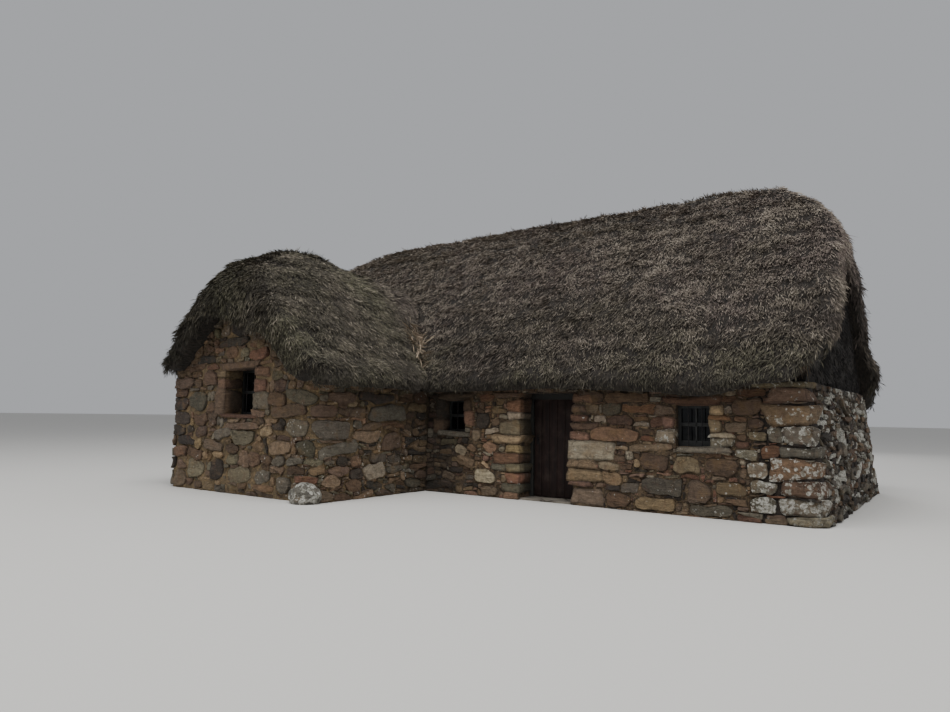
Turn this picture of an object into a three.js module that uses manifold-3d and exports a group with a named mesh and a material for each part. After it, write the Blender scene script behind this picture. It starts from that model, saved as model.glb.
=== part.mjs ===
// Thatched stone cottage: a long main range with a short wing in front of its west end.
// Millimetres, +Z up. While building, x = 0 is the outer face of the east gable at the ground,
// y = 0 is the outer face of the main front wall at the ground, and +Y points to the back.
// The finished group is moved so that its origin is at the middle of its own footprint.
import * as THREE from 'three';
import { mergeVertices } from 'three/addons/utils/BufferGeometryUtils.js';
import Module from 'manifold-3d';

const wasm = await Module();
wasm.setup();

// Driving dimensions of the plan
const mainLength = 11100;
const mainDepth = 5850;
const wingEast = -6540;          // outer face of the wing's east wall
const wingWest = -10420;
const wingFront = -2580;
const wallThickness = 600;
const gableThickness = 820;      // at the ground, before the batter is taken off
const wallHead = 1880;           // top of the masonry under the eaves
const gableBatter = 200;         // how far the gables lean in over the wall's height
const sideBatter = 50;
const cornerRound = 330;         // the wing's front corners are rounded
const quoinRound = 220;          // so are the main range's corners, a little less
const seat = 0.3;                // gap left where two pieces touch
const beyond = 15000;            // past the building on every side, for cutting solids
const floorThickness = 30;

// Roof: half sections as [distance from the ridge line, height]
const mainRidge = mainDepth / 2;
const wingRidge = (wingEast + wingWest) / 2;
const mainOuterHalf = [
  [0, 5480], [350, 5410], [700, 5160], [1050, 4790], [1500, 4240], [2000, 3630],
  [2500, 3010], [2900, 2470], [3160, 2060], [3285, 1830], [3275, 1730], [3190, 1670], [3080, 1660],
];
const mainUnderApex = 5050;
const mainUnderFoot = 2740;      // where the underside meets the wall head, from the ridge line
const wingOuterHalf = [
  [0, 4300], [350, 4220], [700, 3950], [1100, 3460], [1500, 2930], [1850, 2440],
  [2090, 2080], [2225, 1850], [2215, 1750], [2140, 1690], [2050, 1680],
];
const wingUnderApex = 3850;
const wingValley = { y: -200, z: 2400 };   // the wing's thatch ends here, where the main eave passes
const wingUnderFoot = 1720;
const lipInside = 90;            // the lip starts this far outside the wall face
const lipBottom = 1500;          // below every eave, where the cutting solids end

// Roof ends: [distance outwards from the gable's outer face, height], eave to ridge
const mainEnd = [
  [-150, 1500], [-130, 1700], [-60, 1900], [40, 2200], [100, 2650], [115, 3200], [95, 3700],
  [35, 4150], [-60, 4450], [-210, 4720], [-420, 4960], [-680, 5170], [-950, 5320],
  [-1300, 5430], [-1800, 5500],
];
const mainUnderEnd = [
  [400, 3650], [100, 3760], [-200, 3900], [-550, 4330], [-850, 4760], [-1050, 4980], [-1180, 5120],
];
const wingEnd = [
  [130, 1500], [180, 1700], [270, 2050], [350, 2500], [385, 2900], [370, 3250], [310, 3560],
  [180, 3830], [-30, 4040], [-300, 4180], [-640, 4260], [-1000, 4285],
];
const wingTaper = { from: -1300, to: 1820, drop: 0.15 };   // the wing's roof sinks towards the main one
const wingUnderEnd = [
  [700, 2700], [370, 2780], [0, 3000], [-300, 3300], [-600, 3620], [-900, 3900],
];
const wingWestShare = 0.945;     // the wing's west slope is shorter than its east one
const wingEaveRise = [[-11500, 1500], [-11500, 1930], [-10200, 1860], [-10200, 1500]];
const mainEndSkew = 0.024;       // the east verge runs back towards the rear
const eaveRise = [[-1450, 1500], [-1450, 1660], [-1000, 1760], [-650, 1830], [300, 1860], [300, 1500]];
const roofCornerRound = 380;     // rounding of the roof's corners in plan
const turfPanel = { outer: 250, inner: 620, top: 5200 };   // how far it stands in from the gable's face

// Openings: x from, x to, z from, z to
const door = { x0: -4560, x1: -3580, z1: 1740 };
const doorReveal = 330;          // depth of the outer reveal in front of the frame
const doorSplay = { x0: -4620, x1: -3460 };
const frontWindows = {
  east_window: { x0: -1950, x1: -1450, z0: 970, z1: 1560, reveal: 140 },
  inner_window: { x0: -6150, x1: -5700, z0: 1070, z1: 1640, reveal: 170 },
};
const wingWindow = { x0: -8870, x1: -8080, z0: 1310, z1: 2080, reveal: 330 };
const backWindow = { x0: -3950, x1: -3400, z0: 970, z1: 1560, reveal: 140 };
const lintelBearing = 150;
const lintelHeight = 120;
const doorBearing = 200;
const frameWidth = 45;
const frameDepth = 60;
const glassThickness = 6;

// Door joinery
const frameFace = 90;            // depth of the door frame from front to back
const frameRebate = 50;          // depth of the rebate that the leaf closes into
const leaf = { x0: -4505, x1: -3630, z0: 40, z1: 1660, thickness: 42 };
const leafGap = 6;
const stopWidth = 14;
const hingePin = { x: -3623, behind: 15, radius: 5 };
const eye = { radius: 9, bore: 5.5, half: 20 };   // the strap's eye turns on the pin
const hingeHeights = { upper: 1380, lower: 330 };
const strap = { length: 480, fromPin: 55, thick: 6 };
const pintle = { drop: 55, reach: 20, plateWidth: 81, plateDrop: 60, thick: 6, armDepth: 12 };
const ledges = { depth: 24, height: 130, upper: 1290, lower: 280, fromLatch: 40, fromHinge: 60 };
const brace = { width: 140, top: 1300, bottom: 400, fromLatch: 60, fromHinge: 80 };
const latch = { fromEdge: 75, halfWidth: 22, z0: 890, z1: 1050, thick: 4 };
const knob = { height: 990, length: 40, tip: 15, neck: 9 };

// Roof timbers
const coupleWidth = 110;
const coupleX = [-2150, -4850, -6840, -9880];
const wingCoupleY = [-1150, 110];
const rafterDepth = 170;         // measured level, across the slope
const collarHeight = 110;
const mainCollar = 4000;
const wingCollar = 2950;
const poleSpace = 190;           // height cut from the main couples' apexes for the ridge pole
const poleOverhang = { west: 50, east: 130 };

// The big stone at the foot of the wing's front corner: half sizes, then its middle from the corner
const boulder = { x: 230, y: 190, z: 150, inFromEast: 170, outFromFront: 60, up: 120 };

const colours = {
  rubble: 0x7d6a58, lintel: 0x6f5b50, thatch: 0x6b6358, turf: 0x2b2622, timber: 0x4a3f35,
  paintedWood: 0x2a1c1a, paintedFrame: 0x343a38, iron: 0x1b1b1c, glass: 0x11161a, flag: 0x77716a,
};
const materials = {};
for (const [name, colour] of Object.entries(colours)) {
  materials[name] = new THREE.MeshStandardMaterial({ color: colour, roughness: 0.9, metalness: 0 });
}
materials.iron.metalness = 0.7;
materials.iron.roughness = 0.6;
materials.glass.roughness = 0.1;

const cottage = new THREE.Group();

// Turns a closed three.js geometry into a solid that can be joined and cut
function solid(geometry) {
  const plain = geometry.index ? geometry.toNonIndexed() : geometry.clone();
  plain.deleteAttribute('normal');
  plain.deleteAttribute('uv');
  const merged = mergeVertices(plain, 0.01);
  return new wasm.Manifold(new wasm.Mesh({
    numProp: 3,
    vertProperties: new Float32Array(merged.attributes.position.array),
    triVerts: new Uint32Array(merged.index.array),
  }));
}

function geometryOf(body) {
  const mesh = body.getMesh();
  const geometry = new THREE.BufferGeometry();
  geometry.setAttribute('position', new THREE.BufferAttribute(new Float32Array(mesh.vertProperties), 3));
  geometry.setIndex(new THREE.BufferAttribute(new Uint32Array(mesh.triVerts), 1));
  geometry.computeVertexNormals();
  return geometry;
}

function add(name, body, material) {
  const mesh = new THREE.Mesh(geometryOf(body), material);
  mesh.name = name;
  cottage.add(mesh);
}

function block(x0, x1, y0, y1, z0, z1) {
  const geometry = new THREE.BoxGeometry(x1 - x0, y1 - y0, z1 - z0);
  geometry.translate((x0 + x1) / 2, (y0 + y1) / 2, (z0 + z1) / 2);
  return solid(geometry);
}

function shapeOf(points) {
  return new THREE.Shape(points.map(([u, v]) => new THREE.Vector2(u, v)));
}

function extruded(shape, depth) {
  return new THREE.ExtrudeGeometry(shape, { depth, bevelEnabled: false, curveSegments: 6 });
}

// A [y, z] outline carried along X, and an [x, z] outline carried along Y
function alongX(points, x0, x1) {
  const geometry = extruded(shapeOf(points), x1 - x0);
  const axes = new THREE.Matrix4().makeBasis(
    new THREE.Vector3(0, 1, 0), new THREE.Vector3(0, 0, 1), new THREE.Vector3(1, 0, 0));
  geometry.applyMatrix4(axes);
  geometry.translate(x0, 0, 0);
  return solid(geometry);
}

function alongYGeometry(points, y0, y1) {
  const geometry = extruded(shapeOf(points), y1 - y0);
  const axes = new THREE.Matrix4().makeBasis(
    new THREE.Vector3(1, 0, 0), new THREE.Vector3(0, 0, 1), new THREE.Vector3(0, -1, 0));
  geometry.applyMatrix4(axes);
  geometry.translate(0, y1, 0);
  return geometry;
}

function alongY(points, y0, y1) {
  return solid(alongYGeometry(points, y0, y1));
}

// Moves every vertex of a geometry by a rule
function reshaped(geometry, move) {
  const position = geometry.attributes.position;
  const v = new THREE.Vector3();
  for (let i = 0; i < position.count; i += 1) {
    v.fromBufferAttribute(position, i);
    move(v);
    position.setXYZ(i, v.x, v.y, v.z);
  }
  return geometry;
}

// A plan rectangle with rounded corners, carried up from z0 to z1
function roundedGeometry(x0, x1, y0, y1, z0, z1, radius) {
  const shape = new THREE.Shape();
  shape.moveTo(x0 + radius, y0);
  shape.lineTo(x1 - radius, y0);
  shape.absarc(x1 - radius, y0 + radius, radius, -Math.PI / 2, 0);
  shape.lineTo(x1, y1 - radius);
  shape.absarc(x1 - radius, y1 - radius, radius, 0, Math.PI / 2);
  shape.lineTo(x0 + radius, y1);
  shape.absarc(x0 + radius, y1 - radius, radius, Math.PI / 2, Math.PI);
  shape.lineTo(x0, y0 + radius);
  shape.absarc(x0 + radius, y0 + radius, radius, Math.PI, Math.PI * 1.5);
  const geometry = extruded(shape, z1 - z0);
  geometry.translate(0, 0, z0);
  return geometry;
}

function roundedPlan(x0, x1, y0, y1, z0, z1, radius) {
  return solid(roundedGeometry(x0, x1, y0, y1, z0, z1, radius));
}

// The outside of the main range's masonry, leaning in towards the top
function batteredEnvelope() {
  const upright = roundedGeometry(-mainLength / 2, mainLength / 2, -mainDepth / 2, mainDepth / 2,
    0, wallHead, quoinRound);
  const geometry = reshaped(upright, (v) => {
    const atTop = v.z > wallHead / 2;
    v.x -= atTop ? Math.sign(v.x) * gableBatter : 0;
    v.y -= atTop ? Math.sign(v.y) * sideBatter : 0;
  });
  geometry.translate(-mainLength / 2, mainDepth / 2, 0);
  return solid(geometry);
}

// Both sides of a half section, as one closed outline about a ridge line
function wholeSection(half, ridge, leftScale = 1) {
  const right = half.map(([s, z]) => [ridge + s, z]);
  const left = half.slice(1).reverse().map(([s, z]) => [ridge - s * leftScale, z]);
  return [...left, ...right];
}

// The hollow under a roof: straight slopes, a level seat on the wall heads, open below
function underSection(apex, foot, halfWidth, ridge, drop) {
  const head = wallHead + seat - drop;
  const half = [
    [0, apex - drop], [foot, head], [halfWidth + 20, head], [halfWidth + lipInside, lipBottom],
  ];
  return wholeSection(half, ridge);
}

// The main roof's outside; grow widens its section and lift raises it
function mainOuter(grow = 0, lift = 0) {
  const section = wholeSection(mainOuterHalf, mainRidge)
    .map(([y, z]) => [y + Math.sign(y - mainRidge) * grow, z + lift]);
  const east = mainEnd.map(([out, z]) => [out, z + lift]);
  const west = mainEnd.map(([out, z]) => [-mainLength - out, z + lift]).reverse();
  const overhang = mainOuterHalf[9][0] + grow;
  const side = reshaped(alongYGeometry([...east, ...west], -1000, mainDepth + 1000), (v) => {
    v.x -= v.x > -mainLength / 2 ? mainEndSkew * (v.y - 500) : 0;
  });
  return alongX(section, -mainLength - 500, 500)
    .intersect(solid(side))
    .intersect(roundedPlan(-mainLength - 115, 115, mainRidge - overhang, mainRidge + overhang,
      1400, 6000, roofCornerRound))
    .subtract(alongY(eaveRise, -1000, mainRidge));
}

function mainUnder(drop = 0) {
  const halfWidth = mainDepth / 2;
  const ends = mainUnderEnd.map(([out, z]) => [out, z - drop]);
  const west = ends.map(([out, z]) => [-mainLength - out, z]).reverse();
  const side = [[400, lipBottom], ...ends, ...west, [-mainLength - 400, lipBottom]];
  return alongX(underSection(mainUnderApex, mainUnderFoot, halfWidth, mainRidge, drop),
    -mainLength - 400, 400)
    .intersect(alongY(side, -1000, mainDepth + 1000));
}

function wingOuter() {
  const end = wingEnd.map(([out, z]) => [wingFront - out, z]);
  const back = wingTaper.to;
  const eave = wingOuterHalf[7][1];
  const side = [...end, [back, wingOuterHalf[0][1] + 10], [back, lipBottom]];
  const half = wingOuterHalf[7][0];
  const section = wholeSection(wingOuterHalf, wingRidge, wingWestShare);
  const straight = alongY(section, wingFront - 500, wingTaper.from);
  const sinking = reshaped(alongYGeometry(section, wingTaper.from, back), (v) => {
    v.z -= v.y > wingTaper.from + 1 && v.z > eave ? wingTaper.drop * (v.z - eave) : 0;
  });
  return straight.add(solid(sinking))
    .subtract(alongY(wingEaveRise, wingFront - 500, back))
    .intersect(alongX(side, wingWest - 500, wingEast + 500))
    .intersect(roundedPlan(wingRidge - half, wingRidge + half, wingFront - 385, back,
      1400, 6000, roofCornerRound));
}

function wingUnder(drop = 0) {
  const halfWidth = (wingEast - wingWest) / 2;
  const front = wingUnderEnd.map(([out, z]) => [wingFront - out, z - drop]);
  const side = [[wingFront - 700, lipBottom], ...front, [mainRidge, 3900], [mainRidge, lipBottom]];
  return alongY(underSection(wingUnderApex, wingUnderFoot, halfWidth, wingRidge, drop),
    wingFront - 700, mainRidge)
    .intersect(alongX(side, wingWest - 500, wingEast + 500));
}

// The part of the wing's hollow that opens the main roof above the inner opening
function wingThroughMain() {
  const half = [[0, wingUnderApex], [wingUnderFoot, wallHead + seat], [wingUnderFoot, lipBottom]];
  return alongY(wholeSection(half, wingRidge), -1000, mainRidge - 300);
}

function buildRoof() {
  const overWingWalls = block(wingWest - seat, wingEast + seat, -beyond, wallThickness,
    0, wallHead + seat);
  const main = mainOuter().subtract(mainUnder()).subtract(wingThroughMain()).subtract(overWingWalls);
  const beforeRidge = block(-beyond, beyond, -beyond, mainRidge - seat / 2, 0, beyond);
  add('main_thatch_front', main.intersect(beforeRidge), materials.thatch);
  const behindRidge = block(-beyond, beyond, mainRidge + seat / 2, beyond, 0, beyond);
  add('main_thatch_back', main.intersect(behindRidge), materials.thatch);
  const belowMain = block(-beyond, beyond, wingValley.y, beyond, 0, wingValley.z);
  const wing = wingOuter().subtract(wingUnder()).subtract(belowMain)
    .subtract(mainOuter(2 * seat, 2 * seat).add(mainOuter(2 * seat, -2 * seat)));
  const eastOfRidge = block(wingRidge + seat / 2, beyond, -beyond, beyond, 0, beyond);
  add('wing_thatch_east', wing.intersect(eastOfRidge), materials.thatch);
  const westOfRidge = block(-beyond, wingRidge - seat / 2, -beyond, beyond, 0, beyond);
  add('wing_thatch_west', wing.intersect(westOfRidge), materials.thatch);
}

// Wall heads and gable tops end just under the roof
function underMainRoof() {
  return mainUnder(2 * seat);
}

function openingThrough(window, y0, y1) {
  return block(window.x0, window.x1, y0, y1, window.z0, window.z1)
    .add(block(window.x0 - lintelBearing, window.x1 + lintelBearing, y0, y1,
      window.z1, window.z1 + lintelHeight));
}

function buildMainWalls() {
  const envelope = batteredEnvelope();
  const wall = (name, body) => add(name, body.intersect(envelope), materials.rubble);
  const doorway = block(door.x0, door.x1, -100, doorReveal, -100, door.z1)
    .add(block(doorSplay.x0, doorSplay.x1, doorReveal, wallThickness + 100, -100, door.z1))
    .add(block(door.x0 - doorBearing, door.x1 + doorBearing, -100, wallThickness + 100,
      door.z1, wallHead + 100));
  const front = (x0, x1, window) => block(x0, x1, 0, wallThickness, 0, wallHead)
    .subtract(openingThrough(window, -100, wallThickness + 100))
    .subtract(doorway);
  wall('front_wall_west', front(wingEast + seat, (door.x0 + door.x1) / 2, frontWindows.inner_window));
  wall('front_wall_east', front((door.x0 + door.x1) / 2, -gableThickness - seat,
    frontWindows.east_window));
  wall('east_gable_wall', block(-gableThickness, 0, 0, mainDepth, 0, wallHead));
  const westInner = -mainLength + gableThickness;
  wall('west_gable_wall', block(-mainLength, westInner, 0, mainDepth, 0, wallHead)
    .subtract(block(wingWest - seat, westInner + 100, -100, wallThickness + seat, -100, wallHead + 100)));
  wall('back_wall', block(westInner + seat, -gableThickness - seat,
    mainDepth - wallThickness, mainDepth, 0, wallHead)
    .subtract(openingThrough(backWindow, mainDepth - wallThickness - 100, mainDepth + 100)));
}

// Panels of turf and heather close the gables between the masonry and the half-hips
function buildGablePanels() {
  const { outer, inner, top } = turfPanel;
  const panel = (x0, x1) => block(x0, x1, 0, mainDepth, wallHead + seat, top)
    .intersect(underMainRoof());
  add('east_gable_panel', panel(-inner, -outer), materials.turf);
  add('west_gable_panel', panel(-mainLength + outer, -mainLength + inner), materials.turf);
}

function wingEnvelope() {
  return roundedPlan(wingWest, wingEast, wingFront, 3000, 0, 3500, cornerRound);
}

function buildWingWalls() {
  const inner = wingFront + wallThickness;
  const gable = block(wingWest, wingEast, wingFront, inner, 0, 3500)
    .intersect(wingEnvelope())
    .intersect(wingUnder(2 * seat).add(block(wingWest, wingEast, wingFront, inner, 0, wallHead - seat)))
    .subtract(openingThrough(wingWindow, wingFront - 100, inner + 100));
  add('wing_gable_wall', gable, materials.rubble);
  const side = (x0, x1) => block(x0, x1, inner + seat, wallThickness, 0, wallHead - seat);
  add('wing_east_wall', side(wingEast - wallThickness, wingEast), materials.rubble);
  add('wing_west_wall', side(wingWest, wingWest + wallThickness), materials.rubble);
}

// A window's lintel, frame and glass. outer is the wall's outer face and inward is +1 or -1.
function buildWindow(name, window, outer, inward, lintelEnvelope) {
  const ys = (from, to) => [outer + inward * from, outer + inward * to].sort((a, b) => a - b);
  const [ly0, ly1] = ys(0, wallThickness);
  let lintel = block(window.x0 - lintelBearing + seat, window.x1 + lintelBearing - seat, ly0, ly1,
    window.z1 + seat, window.z1 + lintelHeight - seat);
  if (lintelEnvelope) {
    lintel = lintel.intersect(lintelEnvelope);
  }
  add(`${name}_lintel`, lintel, materials.lintel);
  const x0 = window.x0 + seat;
  const x1 = window.x1 - seat;
  const z0 = window.z0 + seat;
  const z1 = window.z1 - seat;
  const [fy0, fy1] = ys(window.reveal, window.reveal + frameDepth);
  const light = block(x0 + frameWidth, x1 - frameWidth, fy0 - 50, fy1 + 50,
    z0 + frameWidth, z1 - frameWidth);
  add(`${name}_frame`, block(x0, x1, fy0, fy1, z0, z1).subtract(light), materials.paintedFrame);
  const middle = window.reveal + frameDepth / 2;
  const [gy0, gy1] = ys(middle, middle + glassThickness);
  add(`${name}_glass`, block(x0 + frameWidth + seat, x1 - frameWidth - seat, gy0, gy1,
    z0 + frameWidth + seat, z1 - frameWidth - seat), materials.glass);
}

function buildWindows() {
  const envelope = batteredEnvelope();
  for (const [name, window] of Object.entries(frontWindows)) {
    buildWindow(name, window, 0, 1, envelope);
  }
  buildWindow('back_window', backWindow, mainDepth, -1, envelope);
  buildWindow('wing_window', wingWindow, wingFront, 1, null);
}

function buildDoorway() {
  const envelope = batteredEnvelope();
  const bearing = doorBearing - seat;
  add('door_lintel', block(door.x0 - bearing, door.x1 + bearing, 0, wallThickness,
    door.z1 + seat, wallHead).intersect(envelope), materials.lintel);
  add('door_threshold', block(door.x0 + seat, door.x1 - seat, 20, wallThickness - 20, 0, floorThickness),
    materials.flag);
  const y0 = doorReveal + seat;
  const y1 = doorReveal + frameFace;
  const outline = block(doorSplay.x0 + 10, doorSplay.x1 - 10, y0, y1,
    floorThickness + seat, door.z1 - seat);
  const clear = block(leaf.x0 + stopWidth, leaf.x1 - stopWidth, y0 - 50, y1 + 50,
    -50, leaf.z1 - stopWidth);
  const rebate = block(leaf.x0 - leafGap, leaf.x1 + leafGap, y1 - frameRebate, y1 + 50, -50,
    leaf.z1 + leafGap);
  add('door_frame', outline.subtract(clear).subtract(rebate), materials.paintedFrame);
}

function onHingeAxis(radius, z0, z1) {
  const geometry = new THREE.CylinderGeometry(radius, radius, z1 - z0, 24);
  geometry.rotateX(Math.PI / 2);
  geometry.translate(hingePin.x, doorReveal + frameFace + hingePin.behind, (z0 + z1) / 2);
  return solid(geometry);
}

// The strap is bent round the back of the ledges and ends in an eye that turns on the pin
function strapBody(z0, z1, back) {
  const strapBack = back + ledges.depth + seat;
  const eyeBack = back + hingePin.behind + strap.thick / 2;
  const bend = hingePin.x - strap.fromPin;
  const flat = block(hingePin.x - strap.length, bend, strapBack, strapBack + strap.thick, z0, z1);
  const crank = block(bend - strap.thick, bend, eyeBack - strap.thick, strapBack + strap.thick, z0, z1)
    .add(block(bend - strap.thick, hingePin.x - 2, eyeBack - strap.thick, eyeBack, z0, z1));
  return flat.add(crank).add(onHingeAxis(eye.radius, z0, z1))
    .subtract(onHingeAxis(eye.bore, z0 - 10, z1 + 10));
}

// The pin stands on an arm from a plate that is fixed to the back of the door frame
function pintleBody(z0, z1, back) {
  const shoulder = z0 - seat;
  const plateX = hingePin.x + pintle.reach - pintle.thick;
  const plate = block(plateX, plateX + pintle.plateWidth, back + seat, back + pintle.thick,
    z0 - pintle.plateDrop, shoulder);
  const armBack = back + pintle.thick + pintle.armDepth;
  const arm = block(hingePin.x, hingePin.x + pintle.reach, back + pintle.thick, armBack,
    z0 - pintle.drop, shoulder)
    .add(block(plateX, hingePin.x + pintle.reach, back + pintle.thick / 2, armBack,
      z0 - pintle.drop, shoulder));
  return plate.add(arm).add(onHingeAxis(eye.radius, z0 - pintle.drop, shoulder))
    .add(onHingeAxis(hingePin.radius, z0 - pintle.drop, z1 + 4));
}

function buildDoor() {
  const back = doorReveal + frameFace;
  const front = back - leaf.thickness;
  add('door_leaf', block(leaf.x0, leaf.x1, front, back, leaf.z0, leaf.z1), materials.paintedWood);
  const ledge = (z) => block(leaf.x0 + ledges.fromLatch, leaf.x1 - ledges.fromHinge,
    back + seat, back + ledges.depth, z, z + ledges.height);
  const braceLeft = leaf.x0 + brace.fromLatch;
  const braceRight = leaf.x1 - brace.fromHinge;
  const slanting = alongY([
    [braceLeft, brace.top], [braceLeft + brace.width, brace.top],
    [braceRight, brace.bottom], [braceRight - brace.width, brace.bottom],
  ], back + seat, back + ledges.depth);
  add('door_ledges', ledge(ledges.upper).add(ledge(ledges.lower)).add(slanting), materials.paintedWood);
  for (const [name, z] of Object.entries(hingeHeights)) {
    add(`door_strap_${name}`, strapBody(z - eye.half, z + eye.half, back), materials.iron);
    add(`door_pintle_${name}`, pintleBody(z - eye.half, z + eye.half, back), materials.iron);
  }
  const latchX = leaf.x0 + latch.fromEdge;
  const plate = block(latchX - latch.halfWidth, latchX + latch.halfWidth,
    front - latch.thick, front - seat, latch.z0, latch.z1);
  const grip = new THREE.CylinderGeometry(knob.neck, knob.tip, knob.length, 20);
  grip.translate(latchX, front - knob.length / 2 - 2, knob.height);
  add('door_latch', plate.add(solid(grip)), materials.iron);
}

function buildFloor() {
  const west = -mainLength + gableThickness + seat;
  const east = -gableThickness - seat;
  const inside = wallThickness + seat;
  const roomWest = wingWest + inside;
  const roomEast = wingEast - inside;
  const plan = [
    [west, inside], [roomWest, inside], [roomWest, wingFront + inside], [roomEast, wingFront + inside],
    [roomEast, inside], [east, inside], [east, mainDepth - inside], [west, mainDepth - inside],
  ];
  add('flag_floor', solid(extruded(shapeOf(plan), floorThickness)), materials.flag);
}

// One pair of rafters with a collar, as an outline about the ridge line
function coupleShape(apex, foot, ridge, collarBottom, flatTop) {
  const slope = (apex - wallHead) / foot;
  const outerAt = (z) => (apex - z) / slope;
  const innerAt = (z) => outerAt(z) - rafterDepth;
  const base = wallHead + seat;
  const half = [
    [outerAt(flatTop), flatTop], [foot - 2 * seat, base], [foot - rafterDepth, base],
    [innerAt(collarBottom), collarBottom],
  ];
  const right = half.map(([s, z]) => [ridge + s - seat, z]);
  const left = half.map(([s, z]) => [ridge - s + seat, z]).reverse();
  const shape = shapeOf([...right, ...left]);
  const top = collarBottom + collarHeight;
  const crotch = apex - rafterDepth * slope;
  shape.holes.push(new THREE.Path([
    new THREE.Vector2(ridge + innerAt(top), top), new THREE.Vector2(ridge, crotch),
    new THREE.Vector2(ridge - innerAt(top), top),
  ]));
  return shape;
}

function buildTimbers() {
  const slope = (mainUnderApex - wallHead) / mainUnderFoot;
  const flatTop = mainUnderApex - poleSpace;
  const poleRadius = poleSpace / (1 + Math.hypot(1, slope));
  const main = coupleShape(mainUnderApex, mainUnderFoot, mainRidge, mainCollar, flatTop);
  coupleX.forEach((x, index) => {
    const geometry = extruded(main, coupleWidth);
    geometry.applyMatrix4(new THREE.Matrix4().makeBasis(
      new THREE.Vector3(0, 1, 0), new THREE.Vector3(0, 0, 1), new THREE.Vector3(1, 0, 0)));
    geometry.translate(x - coupleWidth / 2, 0, 0);
    add(`roof_couple_${index + 1}`, solid(geometry), materials.timber);
  });
  const wing = coupleShape(wingUnderApex, wingUnderFoot, wingRidge, wingCollar, wingUnderApex - 60);
  wingCoupleY.forEach((y, index) => {
    const geometry = extruded(wing, coupleWidth);
    geometry.applyMatrix4(new THREE.Matrix4().makeBasis(
      new THREE.Vector3(1, 0, 0), new THREE.Vector3(0, 0, 1), new THREE.Vector3(0, -1, 0)));
    geometry.translate(0, y + coupleWidth / 2, 0);
    add(`wing_couple_${index + 1}`, solid(geometry), materials.timber);
  });
  const poleFrom = coupleX.at(-1) - poleOverhang.west;
  const poleTo = coupleX[0] + poleOverhang.east;
  const pole = new THREE.CylinderGeometry(poleRadius - seat, poleRadius - seat, poleTo - poleFrom, 12);
  pole.rotateZ(Math.PI / 2);
  pole.translate((poleFrom + poleTo) / 2, mainRidge, flatTop + poleRadius);
  add('ridge_pole', solid(pole), materials.timber);
}

// A large round stone stands out of the foot of the wing's front corner
function buildBoulder() {
  const stone = new THREE.IcosahedronGeometry(1, 3);
  stone.scale(boulder.x, boulder.y, boulder.z);
  stone.translate(wingEast - boulder.inFromEast, wingFront - boulder.outFromFront, boulder.up);
  add('corner_boulder', solid(stone)
    .intersect(block(-beyond, beyond, -beyond, beyond, 0, beyond))
    .subtract(roundedPlan(wingWest, wingEast + seat, wingFront - seat, 3000, -10, 3500, cornerRound)),
    materials.rubble);
}

buildMainWalls();
buildGablePanels();
buildWingWalls();
buildRoof();
buildWindows();
buildDoorway();
buildDoor();
buildFloor();
buildTimbers();
buildBoulder();

const extent = new THREE.Box3().setFromObject(cottage);
const middle = extent.getCenter(new THREE.Vector3());
cottage.position.set(-middle.x, -middle.y, -extent.min.z);

export default cottage;
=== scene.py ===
import math
import bpy
import numpy as np
from mathutils import Matrix, Vector, noise
from mathutils.bvhtree import BVHTree


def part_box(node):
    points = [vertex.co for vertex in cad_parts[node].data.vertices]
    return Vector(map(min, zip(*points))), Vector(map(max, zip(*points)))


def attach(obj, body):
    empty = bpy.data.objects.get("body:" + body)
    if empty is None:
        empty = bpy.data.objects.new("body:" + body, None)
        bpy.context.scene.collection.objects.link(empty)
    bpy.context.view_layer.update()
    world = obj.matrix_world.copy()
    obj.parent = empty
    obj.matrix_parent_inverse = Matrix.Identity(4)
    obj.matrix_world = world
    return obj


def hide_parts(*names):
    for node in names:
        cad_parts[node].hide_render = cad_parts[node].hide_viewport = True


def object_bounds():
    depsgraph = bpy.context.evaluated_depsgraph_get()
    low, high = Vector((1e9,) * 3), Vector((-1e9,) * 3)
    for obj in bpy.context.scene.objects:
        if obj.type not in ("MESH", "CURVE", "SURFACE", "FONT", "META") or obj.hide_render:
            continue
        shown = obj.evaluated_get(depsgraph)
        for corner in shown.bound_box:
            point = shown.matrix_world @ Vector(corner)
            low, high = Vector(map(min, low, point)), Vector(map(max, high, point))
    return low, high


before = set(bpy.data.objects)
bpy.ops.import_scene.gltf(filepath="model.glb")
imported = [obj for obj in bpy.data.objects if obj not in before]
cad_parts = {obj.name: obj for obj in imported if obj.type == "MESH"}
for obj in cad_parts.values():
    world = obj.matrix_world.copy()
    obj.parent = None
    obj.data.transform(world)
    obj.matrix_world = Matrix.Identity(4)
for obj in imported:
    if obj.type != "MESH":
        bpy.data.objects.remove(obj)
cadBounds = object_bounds()
chance = np.random.default_rng(31)

# Lines of the building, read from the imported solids
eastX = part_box("east_gable_wall")[1][0]
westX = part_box("west_gable_wall")[0][0]
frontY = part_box("front_wall_east")[0][1]
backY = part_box("back_wall")[1][1]
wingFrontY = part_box("wing_gable_wall")[0][1]
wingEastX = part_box("wing_east_wall")[1][0]
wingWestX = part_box("wing_west_wall")[0][0]
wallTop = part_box("back_wall")[1][2]
ridgeY = (frontY + backY) / 2


def camera():
    view = {"lens": 26.54, "place": (7.087, -11.5285, 1.365), "yaw": 35.34, "pitch": 4.83, "roll": 0.93}
    turn = (Matrix.Rotation(math.radians(view["yaw"]), 3, "Z")
            @ Matrix.Rotation(math.radians(90 + view["pitch"]), 3, "X")
            @ Matrix.Rotation(math.radians(view["roll"]), 3, "Z"))
    bpy.ops.object.camera_add(location=view["place"], rotation=turn.to_euler())
    bpy.context.object.data.lens = view["lens"]
    bpy.context.object.data.sensor_width = 36
    bpy.context.scene.camera = bpy.context.object
    print("camera set")


def deselect():
    if bpy.context.mode != "OBJECT":
        bpy.ops.object.mode_set(mode="OBJECT")
    bpy.ops.object.select_all(action="DESELECT")


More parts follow.
